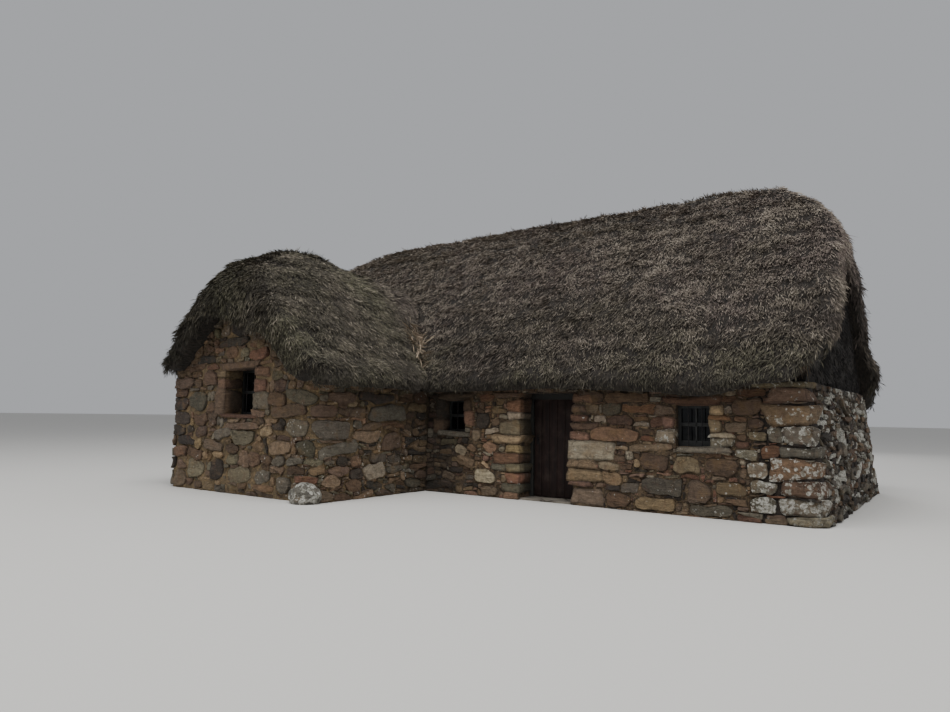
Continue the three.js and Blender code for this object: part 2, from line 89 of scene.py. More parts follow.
def choose(*pieces):
    deselect()
    for piece in pieces:
        piece.select_set(True)
    bpy.context.view_layer.objects.active = pieces[0]


def settle(piece, name, material, body="cottage", replaces=()):
    # puts a finished piece's place into its mesh and hands it to the frame
    choose(piece)
    bpy.ops.object.transform_apply(location=True, rotation=True, scale=True)
    piece.name = name
    piece.data.materials.clear()
    piece.data.materials.append(material)
    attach(piece, body)
    if replaces:
        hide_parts(*replaces)


def srgb(*screen):
    # a colour as a screen gives it, 0 to 255, made linear
    return tuple((c / 255 / 12.92) if c < 11 else ((c / 255 + 0.055) / 1.055) ** 2.4 for c in screen)


# Materials

class Value:
    # a socket that can be added to, subtracted from and multiplied
    def __init__(self, recipe, socket):
        self.recipe = recipe
        self.socket = socket

    def maths(self, operation, first, second=0.0):
        return self.recipe.node("ShaderNodeMath", {"operation": operation}, {0: first, 1: second})

    def __add__(self, other):
        return self.maths("ADD", self, other)

    def __radd__(self, other):
        return self.maths("ADD", other, self)

    def __sub__(self, other):
        return self.maths("SUBTRACT", self, other)

    def __rsub__(self, other):
        return self.maths("SUBTRACT", other, self)

    def __mul__(self, other):
        return self.maths("MULTIPLY", self, other)

    def __rmul__(self, other):
        return self.maths("MULTIPLY", other, self)

    def orMore(self, other):
        return self.maths("MAXIMUM", self, other)


class Recipe:
    # one material, written as sums of values
    def __init__(self, name):
        self.material = bpy.data.materials.new(name)
        self.material.use_nodes = True
        self.tree = self.material.node_tree
        self.shader = self.tree.nodes["Principled BSDF"]
        self.place = self.node("ShaderNodeTexCoord", {}, {}, "Object")

    def node(self, kind, settings, inputs, output=0):
        made = self.tree.nodes.new(kind)
        for name, value in settings.items():
            if name == "stops":
                self.fillRamp(made.color_ramp, value)
            else:
                setattr(made, name, value)
        for key, value in inputs.items():
            self.feed(made.inputs[key], value)
        return Value(self, made.outputs[output])

    def feed(self, socket, value):
        if isinstance(value, Value):
            self.tree.links.new(value.socket, socket)
        elif isinstance(value, tuple) and socket.type == "RGBA":
            socket.default_value = (*value[:3], 1.0)
        else:
            socket.default_value = value

    def fillRamp(self, ramp, stops):
        while len(ramp.elements) < len(stops):
            ramp.elements.new(1.0)
        for element, (at, colour) in zip(ramp.elements, stops):
            element.position = at
            element.color = (*colour, 1.0) if isinstance(colour, tuple) else (colour, colour, colour, 1.0)

    def stretched(self, scale):
        return self.node("ShaderNodeMapping", {}, {"Vector": self.place, "Scale": scale})

    def bent(self, scale, amount):
        # places that drift a little, so that a pattern on them doesn't look ruled
        drift = self.node("ShaderNodeTexNoise", {}, {
            "Vector": self.place, "Scale": scale, "Detail": 2.0}, "Color")
        around = self.node("ShaderNodeVectorMath", {"operation": "SUBTRACT"}, {0: drift, 1: (0.5, 0.5, 0.5)})
        scaled = self.node("ShaderNodeVectorMath", {"operation": "SCALE"}, {0: around, "Scale": amount})
        return self.node("ShaderNodeVectorMath", {"operation": "ADD"}, {0: self.place, 1: scaled})

    def noise(self, scale, detail=4.0, rough=0.55, place=None):
        return self.node("ShaderNodeTexNoise", {}, {
            "Vector": place or self.place, "Scale": scale, "Detail": detail, "Roughness": rough}, "Fac")

    def cells(self, scale, feature="F1", place=None):
        return self.node("ShaderNodeTexVoronoi", {"feature": feature}, {
            "Vector": place or self.place, "Scale": scale}, "Distance")

    def steps(self, value, low, high):
        # 0 below low, 1 above high
        return self.node("ShaderNodeMapRange", {"interpolation_type": "SMOOTHSTEP"}, {
            "Value": value, "From Min": low, "From Max": high})

    def ramp(self, value, stops):
        return self.node("ShaderNodeValToRGB", {"stops": stops}, {"Fac": value}, "Color")

    def mix(self, share, first, second, blend="MIX"):
        return self.node("ShaderNodeMix", {"data_type": "RGBA", "blend_type": blend}, {
            0: share, 6: first, 7: second}, 2)

    def attribute(self, name):
        return self.node("ShaderNodeAttribute", {"attribute_name": name}, {}, "Color")

    def parts(self, colour):
        split = self.node("ShaderNodeSeparateColor", {}, {"Color": colour}, "Red")
        outputs = split.socket.node.outputs
        return [Value(self, outputs[n]) for n in ("Red", "Green", "Blue")]

    def bump(self, height, distance, strength=1.0):
        return self.node("ShaderNodeBump", {}, {
            "Height": height, "Distance": distance, "Strength": strength}, "Normal")

    def finish(self, **looks):
        for name, value in looks.items():
            self.feed(self.shader.inputs[name.replace("_", " ")], value)
        return self.material


def stoneMaterial():
    # each stone brings its own colour, with painted shade at its rim, how chipped and lichened it is, and
    # how far damp and painted shade darken it
    look = {
        "broad": 4.5, "mottle": 15.0, "bands": 7.0, "flatBands": (1.0, 1.0, 4.5), "grit": 60.0,
        "cracks": 5.5, "crackWidth": 0.05, "crackDrift": (6.0, 0.3), "crack": srgb(44, 37, 30),
        "ochre": srgb(142, 112, 72), "rust": srgb(106, 72, 54), "stained": 0.4,
        "crustSize": 10.0, "crustEdge": (0.68, 0.71), "lichen": srgb(160, 157, 143),
        "crust": srgb(232, 229, 219), "wet": srgb(30, 27, 22), "wetness": 0.68, "relief": 0.045,
    }
    r = Recipe("field_stone")
    colour = r.attribute("stoneColour")
    chip, lichen, dampAndShade = r.parts(r.attribute("stoneWear"))
    broad = r.noise(look["broad"], 4.0, 0.6)
    mottle = r.steps(r.noise(look["mottle"], 8.0, 0.72), 0.26, 0.74)
    bands = r.steps(r.noise(look["bands"], 6.0, 0.7, r.stretched(look["flatBands"])), 0.3, 0.7)
    grit = r.noise(look["grit"], 4.0, 0.65)
    edges = r.cells(look["cracks"], "DISTANCE_TO_EDGE", r.bent(*look["crackDrift"]))
    cracks = r.steps(edges, 0.0, look["crackWidth"])
    cracks = cracks.orMore(1.0 - r.steps(r.noise(3.5, 3.0), 0.46, 0.6))    # only here and there
    tone = 0.34 + 0.66 * mottle + 0.4 * bands + 0.3 * grit
    toned = r.mix(1.0, colour, r.ramp(tone * 0.5, [(0.0, 0.0), (1.0, 2.0)]), "MULTIPLY")
    ochre = r.mix(r.steps(broad, 0.52, 0.72) * look["stained"], toned, look["ochre"])
    rusty = r.mix(r.steps(r.noise(6.5, 5.0, 0.6), 0.56, 0.72) * look["stained"], ochre, look["rust"])
    cracked = r.mix((1.0 - cracks) * (0.2 + 0.35 * chip), rusty, look["crack"])
    # lichen grows as ragged crusts and as round spots
    crust = r.steps(r.noise(look["crustSize"], 8.0, 0.7) + lichen * 0.26, *look["crustEdge"])
    rounds = r.steps(lichen * 0.62 - 0.17 + 0.3 * broad - r.cells(look["crustSize"]), 0.0, 0.05)
    grown = crust.orMore(rounds)
    pale = r.mix(r.steps(r.noise(30.0, 4.0), 0.4, 0.62), look["lichen"], look["crust"])
    covered = r.mix(grown * (0.62 + 0.3 * lichen), cracked, pale)
    # painted shade: the damp channel also darkens stones under the eaves, by the inner corners and deep in
    # openings
    wettedAndShaded = r.mix(dampAndShade, covered, r.mix(look["wetness"], covered, look["wet"]))
    height = mottle * 0.5 + bands * 0.45 + cracks * 0.25 + grit * 0.25 + grown * 0.05
    return r.finish(Base_Color=wettedAndShaded, Roughness=0.95 - 0.1 * grit, Normal=r.bump(height, look["relief"]))


def mortarMaterial(name, pale, dark, wet, corner=None):
    # corner: which coordinate leads into the inner corner, where the joints darken with damp and painted
    # shade, and from where to where
    look = {"lumps": 13.0, "grains": 48.0, "grit": 110.0, "patches": 1.4, "dampAndShade": srgb(44, 36, 29),
            "cornerDampAndShade": 0.75, "relief": 0.035}
    r = Recipe(name)
    lumps = r.noise(look["lumps"], 7.0, 0.66)
    grains = r.cells(look["grains"])
    grit = r.noise(look["grit"], 3.0)
    colour = r.mix(r.steps(lumps, 0.3, 0.7), dark, pale)
    speckled = r.mix(r.steps(grains, 0.3, 0.6) * 0.4, colour, dark)
    share = r.steps(r.noise(look["patches"], 3.0), 0.5, 0.75) * wet
    if corner:
        axis, start, end = corner
        along = r.node("ShaderNodeSeparateXYZ", {}, {"Vector": r.place}, axis)
        inner = r.steps(along, start, end) if end > start else 1.0 - r.steps(along, end, start)
        share = share.orMore(inner * look["cornerDampAndShade"])
    dampAndShade = r.mix(share, speckled, look["dampAndShade"])
    height = lumps * 0.7 + grains * 0.4 + grit * 0.15
    return r.finish(Base_Color=dampAndShade, Roughness=0.95, Normal=r.bump(height, look["relief"]))


def massMaterial():
    # what shows between the stems
    look = {"streaks": 30.0, "downhill": (1.0, 0.35, 0.35), "clumps": 5.0,
            "dark": srgb(26, 23, 20), "straw": srgb(66, 58, 50), "relief": 0.05}
    r = Recipe("thatch_mass")
    streaks = r.noise(look["streaks"], 5.0, 0.65, r.stretched(look["downhill"]))
    clumps = r.noise(look["clumps"], 5.0, 0.6)
    colour = r.mix(r.steps(streaks, 0.35, 0.65) * clumps, look["dark"], look["straw"])
    return r.finish(Base_Color=colour, Roughness=1.0, Normal=r.bump(streaks + clumps * 0.6, look["relief"]))


def stemMaterial(name, violet, olive, tip, root):
    # each stem brings its hue, its brightness and how far along it a point is
    r = Recipe(name)
    hue, bright, along = r.parts(r.attribute("strandTone"))
    base = r.mix(hue, violet, olive)
    # bright stems turn paler towards the tip colour: pale tips, partly painted highlight
    paledAndLit = r.mix(r.steps(bright, 0.55, 1.0) * 0.85, base, tip)
    # painted shade: stems darken towards their roots, where they shade each other, and dim stems darken more
    shade = r.steps(along, -0.4, 0.7) * (0.22 + 0.78 * r.steps(bright, 0.0, 0.7))
    return r.finish(Base_Color=r.mix(shade, root, paledAndLit), Roughness=0.9)


def woodMaterial(name, pale, dark, along, rough=0.75):
    look = {"across": 26.0, "along": 1.6, "faded": srgb(96, 84, 74), "relief": 0.006}
    scale = [look["across"]] * 3
    scale["xyz".index(along)] = look["along"]
    r = Recipe(name)
    grain = r.noise(1.0, 6.0, 0.62, r.stretched(tuple(scale)))
    fine = r.noise(3.6, 4.0, 0.6, r.stretched(tuple(scale)))
    worn = r.noise(4.0, 4.0)
    colour = r.mix(r.steps(grain * 0.7 + fine * 0.35, 0.3, 0.75), dark, pale)
    faded = r.mix(r.steps(worn, 0.45, 0.8) * 0.25, colour, look["faded"])
    r.shader.inputs["Specular IOR Level"].default_value = 0.3
    return r.finish(Base_Color=faded, Roughness=rough + 0.15 * fine,
                    Normal=r.bump(grain * 0.6 + fine * 0.4, look["relief"], 0.8))


def paintMaterial(name, colour, chip, eave=9.0):
    # eave: the height above which the paint turns black as painted shade under the eave
    look = {"wear": 22.0, "specks": 90.0, "faded": 0.55, "black": srgb(12, 11, 10), "relief": 0.004}
    r = Recipe(name)
    wear = r.noise(look["wear"], 6.0, 0.65)
    chips = r.steps(wear + 0.15 * r.noise(look["specks"], 2.0), 0.72, 0.78)
    tone = r.mix(r.noise(6.0, 3.0) * 0.5, colour, tuple(c * look["faded"] for c in colour))
    up = r.node("ShaderNodeSeparateXYZ", {}, {"Vector": r.place}, "Z")
    worn = r.mix(chips * 0.7, tone, chip)
    eaveShaded = r.mix(r.steps(up, eave - 0.15, eave) * 0.8, worn, look["black"])
    return r.finish(Base_Color=eaveShaded, Roughness=0.5 + 0.3 * wear,
                    Normal=r.bump(wear - chips * 0.3, look["relief"], 0.6))


def ironMaterial():
    look = {"black": srgb(36, 35, 36), "rust": srgb(74, 46, 32), "pits": 130.0, "rustPatches": 24.0,
            "relief": 0.002}
    r = Recipe("black_iron")
    pits = r.noise(look["pits"], 4.0)
    rust = r.steps(r.noise(look["rustPatches"], 5.0), 0.55, 0.75)
    colour = r.mix(rust * 0.5, look["black"], look["rust"])
    return r.finish(Base_Color=colour, Metallic=0.6 - 0.4 * rust, Roughness=0.5 + 0.3 * rust,
                    Normal=r.bump(pits, look["relief"], 0.6))


def glassMaterial():
    # old panes, their dark colour painted shade of the room behind them
    look = {"shadedClear": srgb(9, 10, 12), "dusty": srgb(22, 24, 25), "dirt": 9.0, "waves": 2.2, "relief": 0.02}
    r = Recipe("old_glass")
    dirt = r.noise(look["dirt"], 5.0)
    colour = r.mix(r.steps(dirt, 0.4, 0.8), look["shadedClear"], look["dusty"])
    r.shader.inputs["Specular IOR Level"].default_value = 0.25
    return r.finish(Base_Color=colour, Roughness=0.08 + 0.25 * r.steps(dirt, 0.5, 0.8),
                    Normal=r.bump(r.noise(look["waves"], 2.0), look["relief"], 0.3))


def flagMaterial():
    look = {"slabs": 2.1, "jointWidth": 0.035, "dark": srgb(96, 90, 82), "pale": srgb(126, 119, 108),
            "joint": srgb(52, 45, 38), "relief": 0.01}
    r = Recipe("floor_flags")
    joint = r.steps(r.cells(look["slabs"], "DISTANCE_TO_EDGE"), 0.0, look["jointWidth"])
    tone = r.noise(3.5, 6.0, 0.6)
    slab = r.mix(r.steps(tone, 0.3, 0.7), look["dark"], look["pale"])
    colour = r.mix(joint, look["joint"], slab)
    height = joint * 0.8 + tone * 0.3
    return r.finish(Base_Color=colour, Roughness=0.85, Normal=r.bump(height, look["relief"], 0.8))


# Meshes that repeat one modelled shape

def pointsOf(piece):
    return np.array([v.co[:] for v in piece.data.vertices])


def normalsOf(piece):
    return np.array([v.normal[:] for v in piece.data.vertices])


def movePoints(piece, points):
    piece.data.vertices.foreach_set("co", points.astype(np.float32).ravel())
    piece.data.update()


def edit(step, **settings):
    # one step of edit mode on the whole active piece
    bpy.ops.object.mode_set(mode="EDIT")
    bpy.ops.mesh.select_all(action="SELECT")
    step(**settings)
    bpy.ops.object.mode_set(mode="OBJECT")


def shapeArrays(piece):
    # the points and triangles of a modelled shape, which is then deleted
    piece.data.calc_loop_triangles()
    points = pointsOf(piece)
    faces = np.array([t.vertices[:] for t in piece.data.loop_triangles])
    bpy.data.objects.remove(piece)
    return points, faces


def joinedMesh(name, points, faces):
    # points is copies x points x 3, and every copy has the same faces
    copies, count, _ = points.shape
    corners = (faces[None] + (np.arange(copies) * count)[:, None, None]).reshape(-1)
    mesh = bpy.data.meshes.new(name)
    mesh.vertices.add(copies * count)
    mesh.vertices.foreach_set("co", points.astype(np.float32).ravel())
    mesh.loops.add(len(corners))
    mesh.loops.foreach_set("vertex_index", corners.astype(np.int32))
    mesh.polygons.add(len(corners) // 3)
    mesh.polygons.foreach_set("loop_start", np.arange(0, len(corners), 3, dtype=np.int32))
    mesh.update(calc_edges=True)
    piece = bpy.data.objects.new(name, mesh)
    bpy.context.collection.objects.link(piece)
    return piece


def pointColours(piece, name, colours):
    layer = piece.data.color_attributes.new(name=name, type="FLOAT_COLOR", domain="POINT")
    full = np.ones((len(piece.data.vertices), 4), np.float32)
    full[:, :3] = colours.reshape(-1, 3)
    layer.data.foreach_set("color", full.ravel())


def smooth(value, low, high):
    share = np.clip((value - low) / (high - low), 0, 1)
    return share * share * (3 - 2 * share)


# Masonry: stones are laid out on unrolled walls, as (along, up), and then wrapped round the plan

class WallPath:
    # the plan line of a wall's outer face, with rounded corners
    def __init__(self, corners, radii=()):
        line = []
        turns = []
        last = len(corners) - 1
        for i, corner in enumerate(corners):
            here = Vector(corner)
            if i in (0, last):
                line.append(here)
                turns.append(self.facing(corners, min(i, last - 1)))
                continue
            before = self.facing(corners, i - 1)
            after = self.facing(corners, i)
            back = (Vector(corners[i - 1]) - here).normalized()
            ahead = (Vector(corners[i + 1]) - here).normalized()
            radius = radii[i - 1]
            centre = here + (back + ahead) * radius
            for k in range(9):
                n = Matrix.Rotation(-before.angle_signed(after) * k / 8, 2) @ before
                line.append(centre + n * radius)
                turns.append(n)
        self.points = np.array([p[:] for p in line])
        self.normals = np.array([n[:] for n in turns])
        steps = np.linalg.norm(np.diff(self.points, axis=0), axis=1)
        self.along = np.concatenate([[0], np.cumsum(np.maximum(steps, 1e-6))])
        self.length = self.along[-1]

    @staticmethod
    def facing(corners, i):
        run = (Vector(corners[i + 1]) - Vector(corners[i])).normalized()
        return Vector((run.y, -run.x))

    def at(self, x, y):
        # how far along the line the place nearest to (x, y) is
        u = np.linspace(0, self.length, 8000)
        px = np.interp(u, self.along, self.points[:, 0])
        py = np.interp(u, self.along, self.points[:, 1])
        return float(u[np.argmin((px - x) ** 2 + (py - y) ** 2)])

    def wrap(self, place, lean):
        # place holds (along, up, out of the wall)
        u, v, out = place[..., 0], place[..., 1], place[..., 2]
        x = np.interp(u, self.along, self.points[:, 0])
        y = np.interp(u, self.along, self.points[:, 1])
        nx = np.interp(u, self.along, self.normals[:, 0])
        ny = np.interp(u, self.along, self.normals[:, 1])
        dx, dy = lean(x, y, v)
        return np.stack([x + nx * out + dx, y + ny * out + dy, v], -1)


def mainLean(x, y, z):
    # the main range's gables lean in by more than its long sides, as its solids do
    batter = {"gable": 0.2, "side": 0.05, "nearEnd": 7}
    up = z / wallTop
    across = np.clip(x / eastX, -1, 1) ** batter["nearEnd"]
    deep = np.clip((y - ridgeY) / (backY - ridgeY), -1, 1)
    return -across * batter["gable"] * up, -deep * batter["side"] * up


def upright(x, y, z):
    # the wing's walls don't lean
    return x * 0, y * 0


slivers = {"cut": 0.0006, "broken": 0.0008, "laid": 0.0007, "width": 0.016}    # smaller cells stay mortar


def cutCell(cell, point, normal):
    # the part of a convex outline behind a line
    kept = []
    for a, b in zip(cell, cell[1:] + cell[:1]):
        da = (a[0] - point[0]) * normal[0] + (a[1] - point[1]) * normal[1]
        db = (b[0] - point[0]) * normal[0] + (b[1] - point[1]) * normal[1]
        if da <= 0:
            kept.append(a)
        if (da < 0) != (db < 0) and abs(da - db) > 1e-9:
            t = da / (da - db)
            kept.append((a[0] + (b[0] - a[0]) * t, a[1] + (b[1] - a[1]) * t))
    return kept


def cellSize(cell):
    if len(cell) < 3:
        return 0.0, 0.0, 0.0
    points = np.array(cell)
    x, y = points[:, 0], points[:, 1]
    area = 0.5 * abs(np.dot(x, np.roll(y, -1)) - np.dot(y, np.roll(x, -1)))
    return area, float(np.ptp(x)), float(np.ptp(y))


def outside(cell, box):
    # what is left of a convex outline around an upright box (x0, x1, z0, z1)
    x0, x1, z0, z1 = box
    xs = [p[0] for p in cell]
    zs = [p[1] for p in cell]
    if max(xs) <= x0 or min(xs) >= x1 or max(zs) <= z0 or min(zs) >= z1:
        return [cell]
    parts = []
    rest = cell
    sides = [((x0, 0), (1, 0)), ((x1, 0), (-1, 0)), ((0, z0), (0, 1)), ((0, z1), (0, -1))]
    if chance.random() < 0.5:
        sides = sides[2:] + sides[:2]
    for point, normal in sides:
        part = cutCell(rest, point, normal)
        if cellSize(part)[0] > slivers["cut"]:
            parts.append(part)
        rest = cutCell(rest, point, (-normal[0], -normal[1]))
        if len(rest) < 3:
            break
    return parts


def split(cell, tilt, across, share):
    normal = (math.cos(tilt), math.sin(tilt)) if across else (-math.sin(tilt), math.cos(tilt))
    reach = [p[0] * normal[0] + p[1] * normal[1] for p in cell]
    at = min(reach) + (max(reach) - min(reach)) * share
    point = (normal[0] * at, normal[1] * at)
    return cutCell(cell, point, normal), cutCell(cell, point, (-normal[0], -normal[1]))


breaking = {
    "length": (0.4, 1.0), "shortest": 0.3, "spread": 0.4, "shapes": (0.4, 2.3), "share": (0.3, 0.7),
    "bed": 0.22, "bedArea": 0.02, "bedHeight": 0.12,
    "bedStones": {"largest": 0.006, "smallest": 0.0025, "pinned": 0.0},
}


def broken(cell, style):
    # splits a cell into stones by lines that are nearly level or nearly upright
    area, wide, high = cellSize(cell)
    if area < slivers["broken"]:
        return []
    middle = sum(p[1] for p in cell) / len(cell)
    large, small = style["largest"], style["smallest"]
    share = min(max(middle / wallTop, 0), 1)
    lighter = share * style["lighterUp"] + (1 - style["lighterUp"]) * chance.random()
    wanted = large * (small / large) ** lighter
    wanted *= math.exp(chance.normal() * breaking["spread"])
    shape = wide / max(high, 1e-3) / style["aspect"]
    tilt = math.radians(chance.normal() * style["tilt"])
    narrow, broad = breaking["shapes"]
    if (area < wanted * 1.4 and narrow < shape < broad) or area < small * 0.8:
        if area > breaking["bedArea"] and high > breaking["bedHeight"] and chance.random() < style["pinned"]:
            # a thin bed of small stones under a large one
            bed, rest = split(cell, tilt, False, breaking["bed"])
            return broken(bed, {**style, **breaking["bedStones"]}) + [rest]
        return [cell]
    across = shape > math.exp(chance.normal() * 0.35)
    first, second = split(cell, tilt, across, chance.uniform(*breaking["share"]))
    return broken(first, style) + broken(second, style)


def courses(zone, style):
    # a wall is first laid off in uneven courses, and these in lengths
    x0, x1, z0, z1 = zone
    cells = []
    low = z0
    while low < z1 - 0.02:
        step = chance.uniform(*style["course"])
        high = z1 if z1 - low - step < style["course"][0] * 0.6 else low + step
        at = x0
        while at < x1 - 0.02:
            length = chance.uniform(*breaking["length"])
            end = x1 if x1 - at - length < breaking["shortest"] else at + length
            cells.append([(at, low), (end, low), (end, high), (at, high)])
            at = end
        low = high
    return [stone for cell in cells for stone in broken(cell, style)]


def halfBall(segments, rings):
    # the start of every walled stone: half a ball, closed by a flat bed
    deselect()
    bpy.ops.mesh.primitive_uv_sphere_add(segments=segments, ring_count=rings, radius=1, location=(0, 0, 0))
    edit(bpy.ops.mesh.bisect, plane_co=(0, 0, -0.05), plane_no=(0, 0, 1), clear_inner=True, use_fill=True)
    points, faces = shapeArrays(bpy.context.object)
    turn = np.arctan2(points[:, 1], points[:, 0]) / (2 * math.pi) * segments
    levels = sorted({round(z, 4) for z in points[:, 2]})
    ring = np.array([levels.index(round(z, 4)) for z in points[:, 2]])
    return {"faces": faces, "spoke": np.rint(turn).astype(int) % segments, "ring": ring,
            "segments": segments, "last": len(levels) - 1}


stoneForm = {
    # how square large stones are, and per ring of points how far in from the rim and how high it lies
    "square": (0.69, 2.6, 22), "lobes": (2, 3, 5, 7), "edgeShare": 0.32, "leastRise": 0.55,
    "shortSide": 0.003, "leastReach": 0.004, "shoulder": 0.55, "crown": 1.03,
    "fine": {"inset": (0.0, 0.0, 0.3, 1.0), "rise": (-0.02, 0.3, 0.82, 0.97)},
    "coarse": {"inset": (0.0, 0.0, 0.7), "rise": (-0.02, 0.35, 0.92)},
}


def stonePlaces(cell, look, ball):
    # moves the half ball's points into a cell: (along, up, out) for each of them
    points = np.array(cell)
    middle = points.mean(0)
    edges = np.roll(points, -1, 0) - points
    length = np.linalg.norm(edges, axis=1)
    keep = length > stoneForm["shortSide"]
    normal = np.stack([edges[:, 1], -edges[:, 0]], 1)[keep] / length[keep, None]
    reach = np.einsum("ij,ij->i", points[keep] - middle, normal)
    if reach.sum() < 0:
        normal, reach = -normal, -reach
    reach = np.maximum(reach - look["joint"], stoneForm["leastReach"])
    # spokes run to even steps of the outline, and to its corners
    total = length.sum()
    corner = np.concatenate([[0], np.cumsum(length)])
    steps = (np.arange(ball["segments"]) + 0.3) / ball["segments"] * total
    for c in corner[:-1]:
        steps[np.argmin(np.abs(steps - c))] = c
    steps = np.sort(steps)
    closed = np.vstack([points, points[:1]])
    rim = np.stack([np.interp(steps, corner, closed[:, k]) for k in (0, 1)], 1) - middle
    size = np.linalg.norm(rim, axis=1)
    ray = rim / np.maximum(size, 1e-6)[:, None]
    square, leastPower, mostPower = stoneForm["square"]
    power = np.clip(square * size / look["round"], leastPower, mostPower)
    far = ((np.maximum(ray @ normal.T, 1e-6) / reach) ** power[:, None]).sum(1) ** (-1 / power)
    wave = np.arange(ball["segments"]) / ball["segments"] * 2 * math.pi
    for lobes in stoneForm["lobes"]:
        depth = look["uneven"] * chance.random()
        far *= 1 - depth * (1 + np.cos(lobes * wave + chance.uniform(0, 6.28))) / 2
    edge = min(look["edge"], stoneForm["edgeShare"] * float(np.median(far)))
    last = ball["last"]
    rings = stoneForm["fine" if last > 4 else "coarse"]
    inset = [share * edge for share in rings["inset"]]
    spoke, ring = ball["spoke"], ball["ring"]
    out = np.empty(len(spoke))
    away = np.empty(len(spoke))
    for k in range(last + 1):
        here = ring == k
        reached = far[spoke[here]]
        if k < len(inset):
            away[here] = np.maximum(reached - inset[k], reached * 0.4)
            out[here] = rings["rise"][k] * (look["rise"] if k else 1.0)
        else:
            away[here] = (reached - inset[-1]) * (stoneForm["shoulder"] if k < last else 0.0)
            out[here] = look["rise"] * (1.0 if k < last else stoneForm["crown"])
    place = middle + ray[spoke] * away[:, None]
    offset = place - middle
    for tiltX, tiltZ, height in look["facets"]:
        limit = look["rise"] * height + offset[:, 0] * tiltX + offset[:, 1] * tiltZ
        limit = np.maximum(limit, look["rise"] * stoneForm["leastRise"])
        out = np.where(ring > 0, np.minimum(out, limit), out)
    out = np.where(ring > 0, out + look["sunk"], out)
    return np.concatenate([place, out[:, None]], 1)


def sway(place, seed):
    # slow and quick drifts along the wall, so that no joint runs straight
    drift = {"slow": (0.45, 0.045), "quick": (0.13, 0.022)}
    moved = np.zeros((len(place), 2))
    for size, amount in drift.values():
        for k in (0, 1):
            moved[:, k] += amount * field(place * (1, 1, 0), size, seed + 9.0 * k)
    return moved


stoneTones = {
    "buff": srgb(148, 128, 102), "brown": srgb(114, 93, 75), "dun": srgb(128, 108, 87),
    "red": srgb(126, 95, 78), "grey": srgb(115, 107, 93), "dark": srgb(70, 62, 54),
    "pale": srgb(162, 150, 130), "orange": srgb(136, 104, 81), "yellow": srgb(140, 123, 93),
    "olive": srgb(113, 105, 85), "pink": srgb(142, 116, 99),
}
toneSpread = {"strength": (0.92, 1.25), "light": 0.2, "hue": 0.02}


def toneOf(names):
    # a word from the list, a little lighter, darker, stronger or greyer
    tint = np.array(stoneTones[names[chance.integers(len(names))]])
    grey = tint.mean()
    tint = grey + (tint - grey) * chance.uniform(*toneSpread["strength"])
    tint = tint * math.exp(chance.normal() * toneSpread["light"])
    return tint * (1 + chance.normal(size=3) * toneSpread["hue"])


def boulderOutline(x0, x1, z0, z1):
    # a box whose corners are cut off by different amounts
    a = chance.uniform(0.03, 0.3, 8) * ([x1 - x0, z1 - z0] * 4)
    return [(x0, z0 + a[1]), (x0 + a[0], z0), (x1 - a[2], z0), (x1, z0 + a[3]),
            (x1, z1 - a[5]), (x1 - a[4], z1), (x0 + a[6], z1), (x0, z1 - a[7])]


def stoneLook(style, area, byHand):
    # the measures of one stone: small ones are flatter and chipped at steeper angles
    size = math.sqrt(area)
    rise = min(style["rise"] * (0.55 + size * 1.6), style["highest"]) * chance.uniform(0.7, 1.25)
    slant = style["chip"] / (0.4 + size * 3)
    return {
        "joint": style["joint"] * chance.uniform(0.6, 1.3) - (style["grow"] if byHand else 0.0),
        "round": style["round"] * chance.uniform(0.7, 1.5) * (0.55 + 2.2 * size),
        "edge": style["edge"] * chance.uniform(0.7, 1.3), "uneven": style["uneven"], "rise": rise,
        "sunk": chance.uniform(*style["sunk"]),
        "facets": [(chance.normal() * slant, chance.normal() * slant, chance.uniform(0.75, 1.1))
                   for _ in range(3)],
    }


def freedom(place, gaps, reach=0.15):
    # how much a stone may drift: not at all beside an opening, and little at the ground
    near = min([max(g[0] - place[:, 0].max(), place[:, 0].min() - g[1],
                    g[2] - place[:, 1].max(), place[:, 1].min() - g[3]) for g in gaps] + [reach])
    return min(max(near, 0.0) / reach, 1.0) * min(0.3 + max(place[:, 1].min(), 0.0) / reach, 1.0)


stoneMeshes = {
    # the least area of a stone, and the segments and rings of the half ball that it is made from
    "close": ((0.035, 24, 8), (0.006, 12, 8), (0.0, 8, 6)),
    "far": ((0.05, 18, 6), (0.012, 12, 6), (0.0, 8, 6)),
}


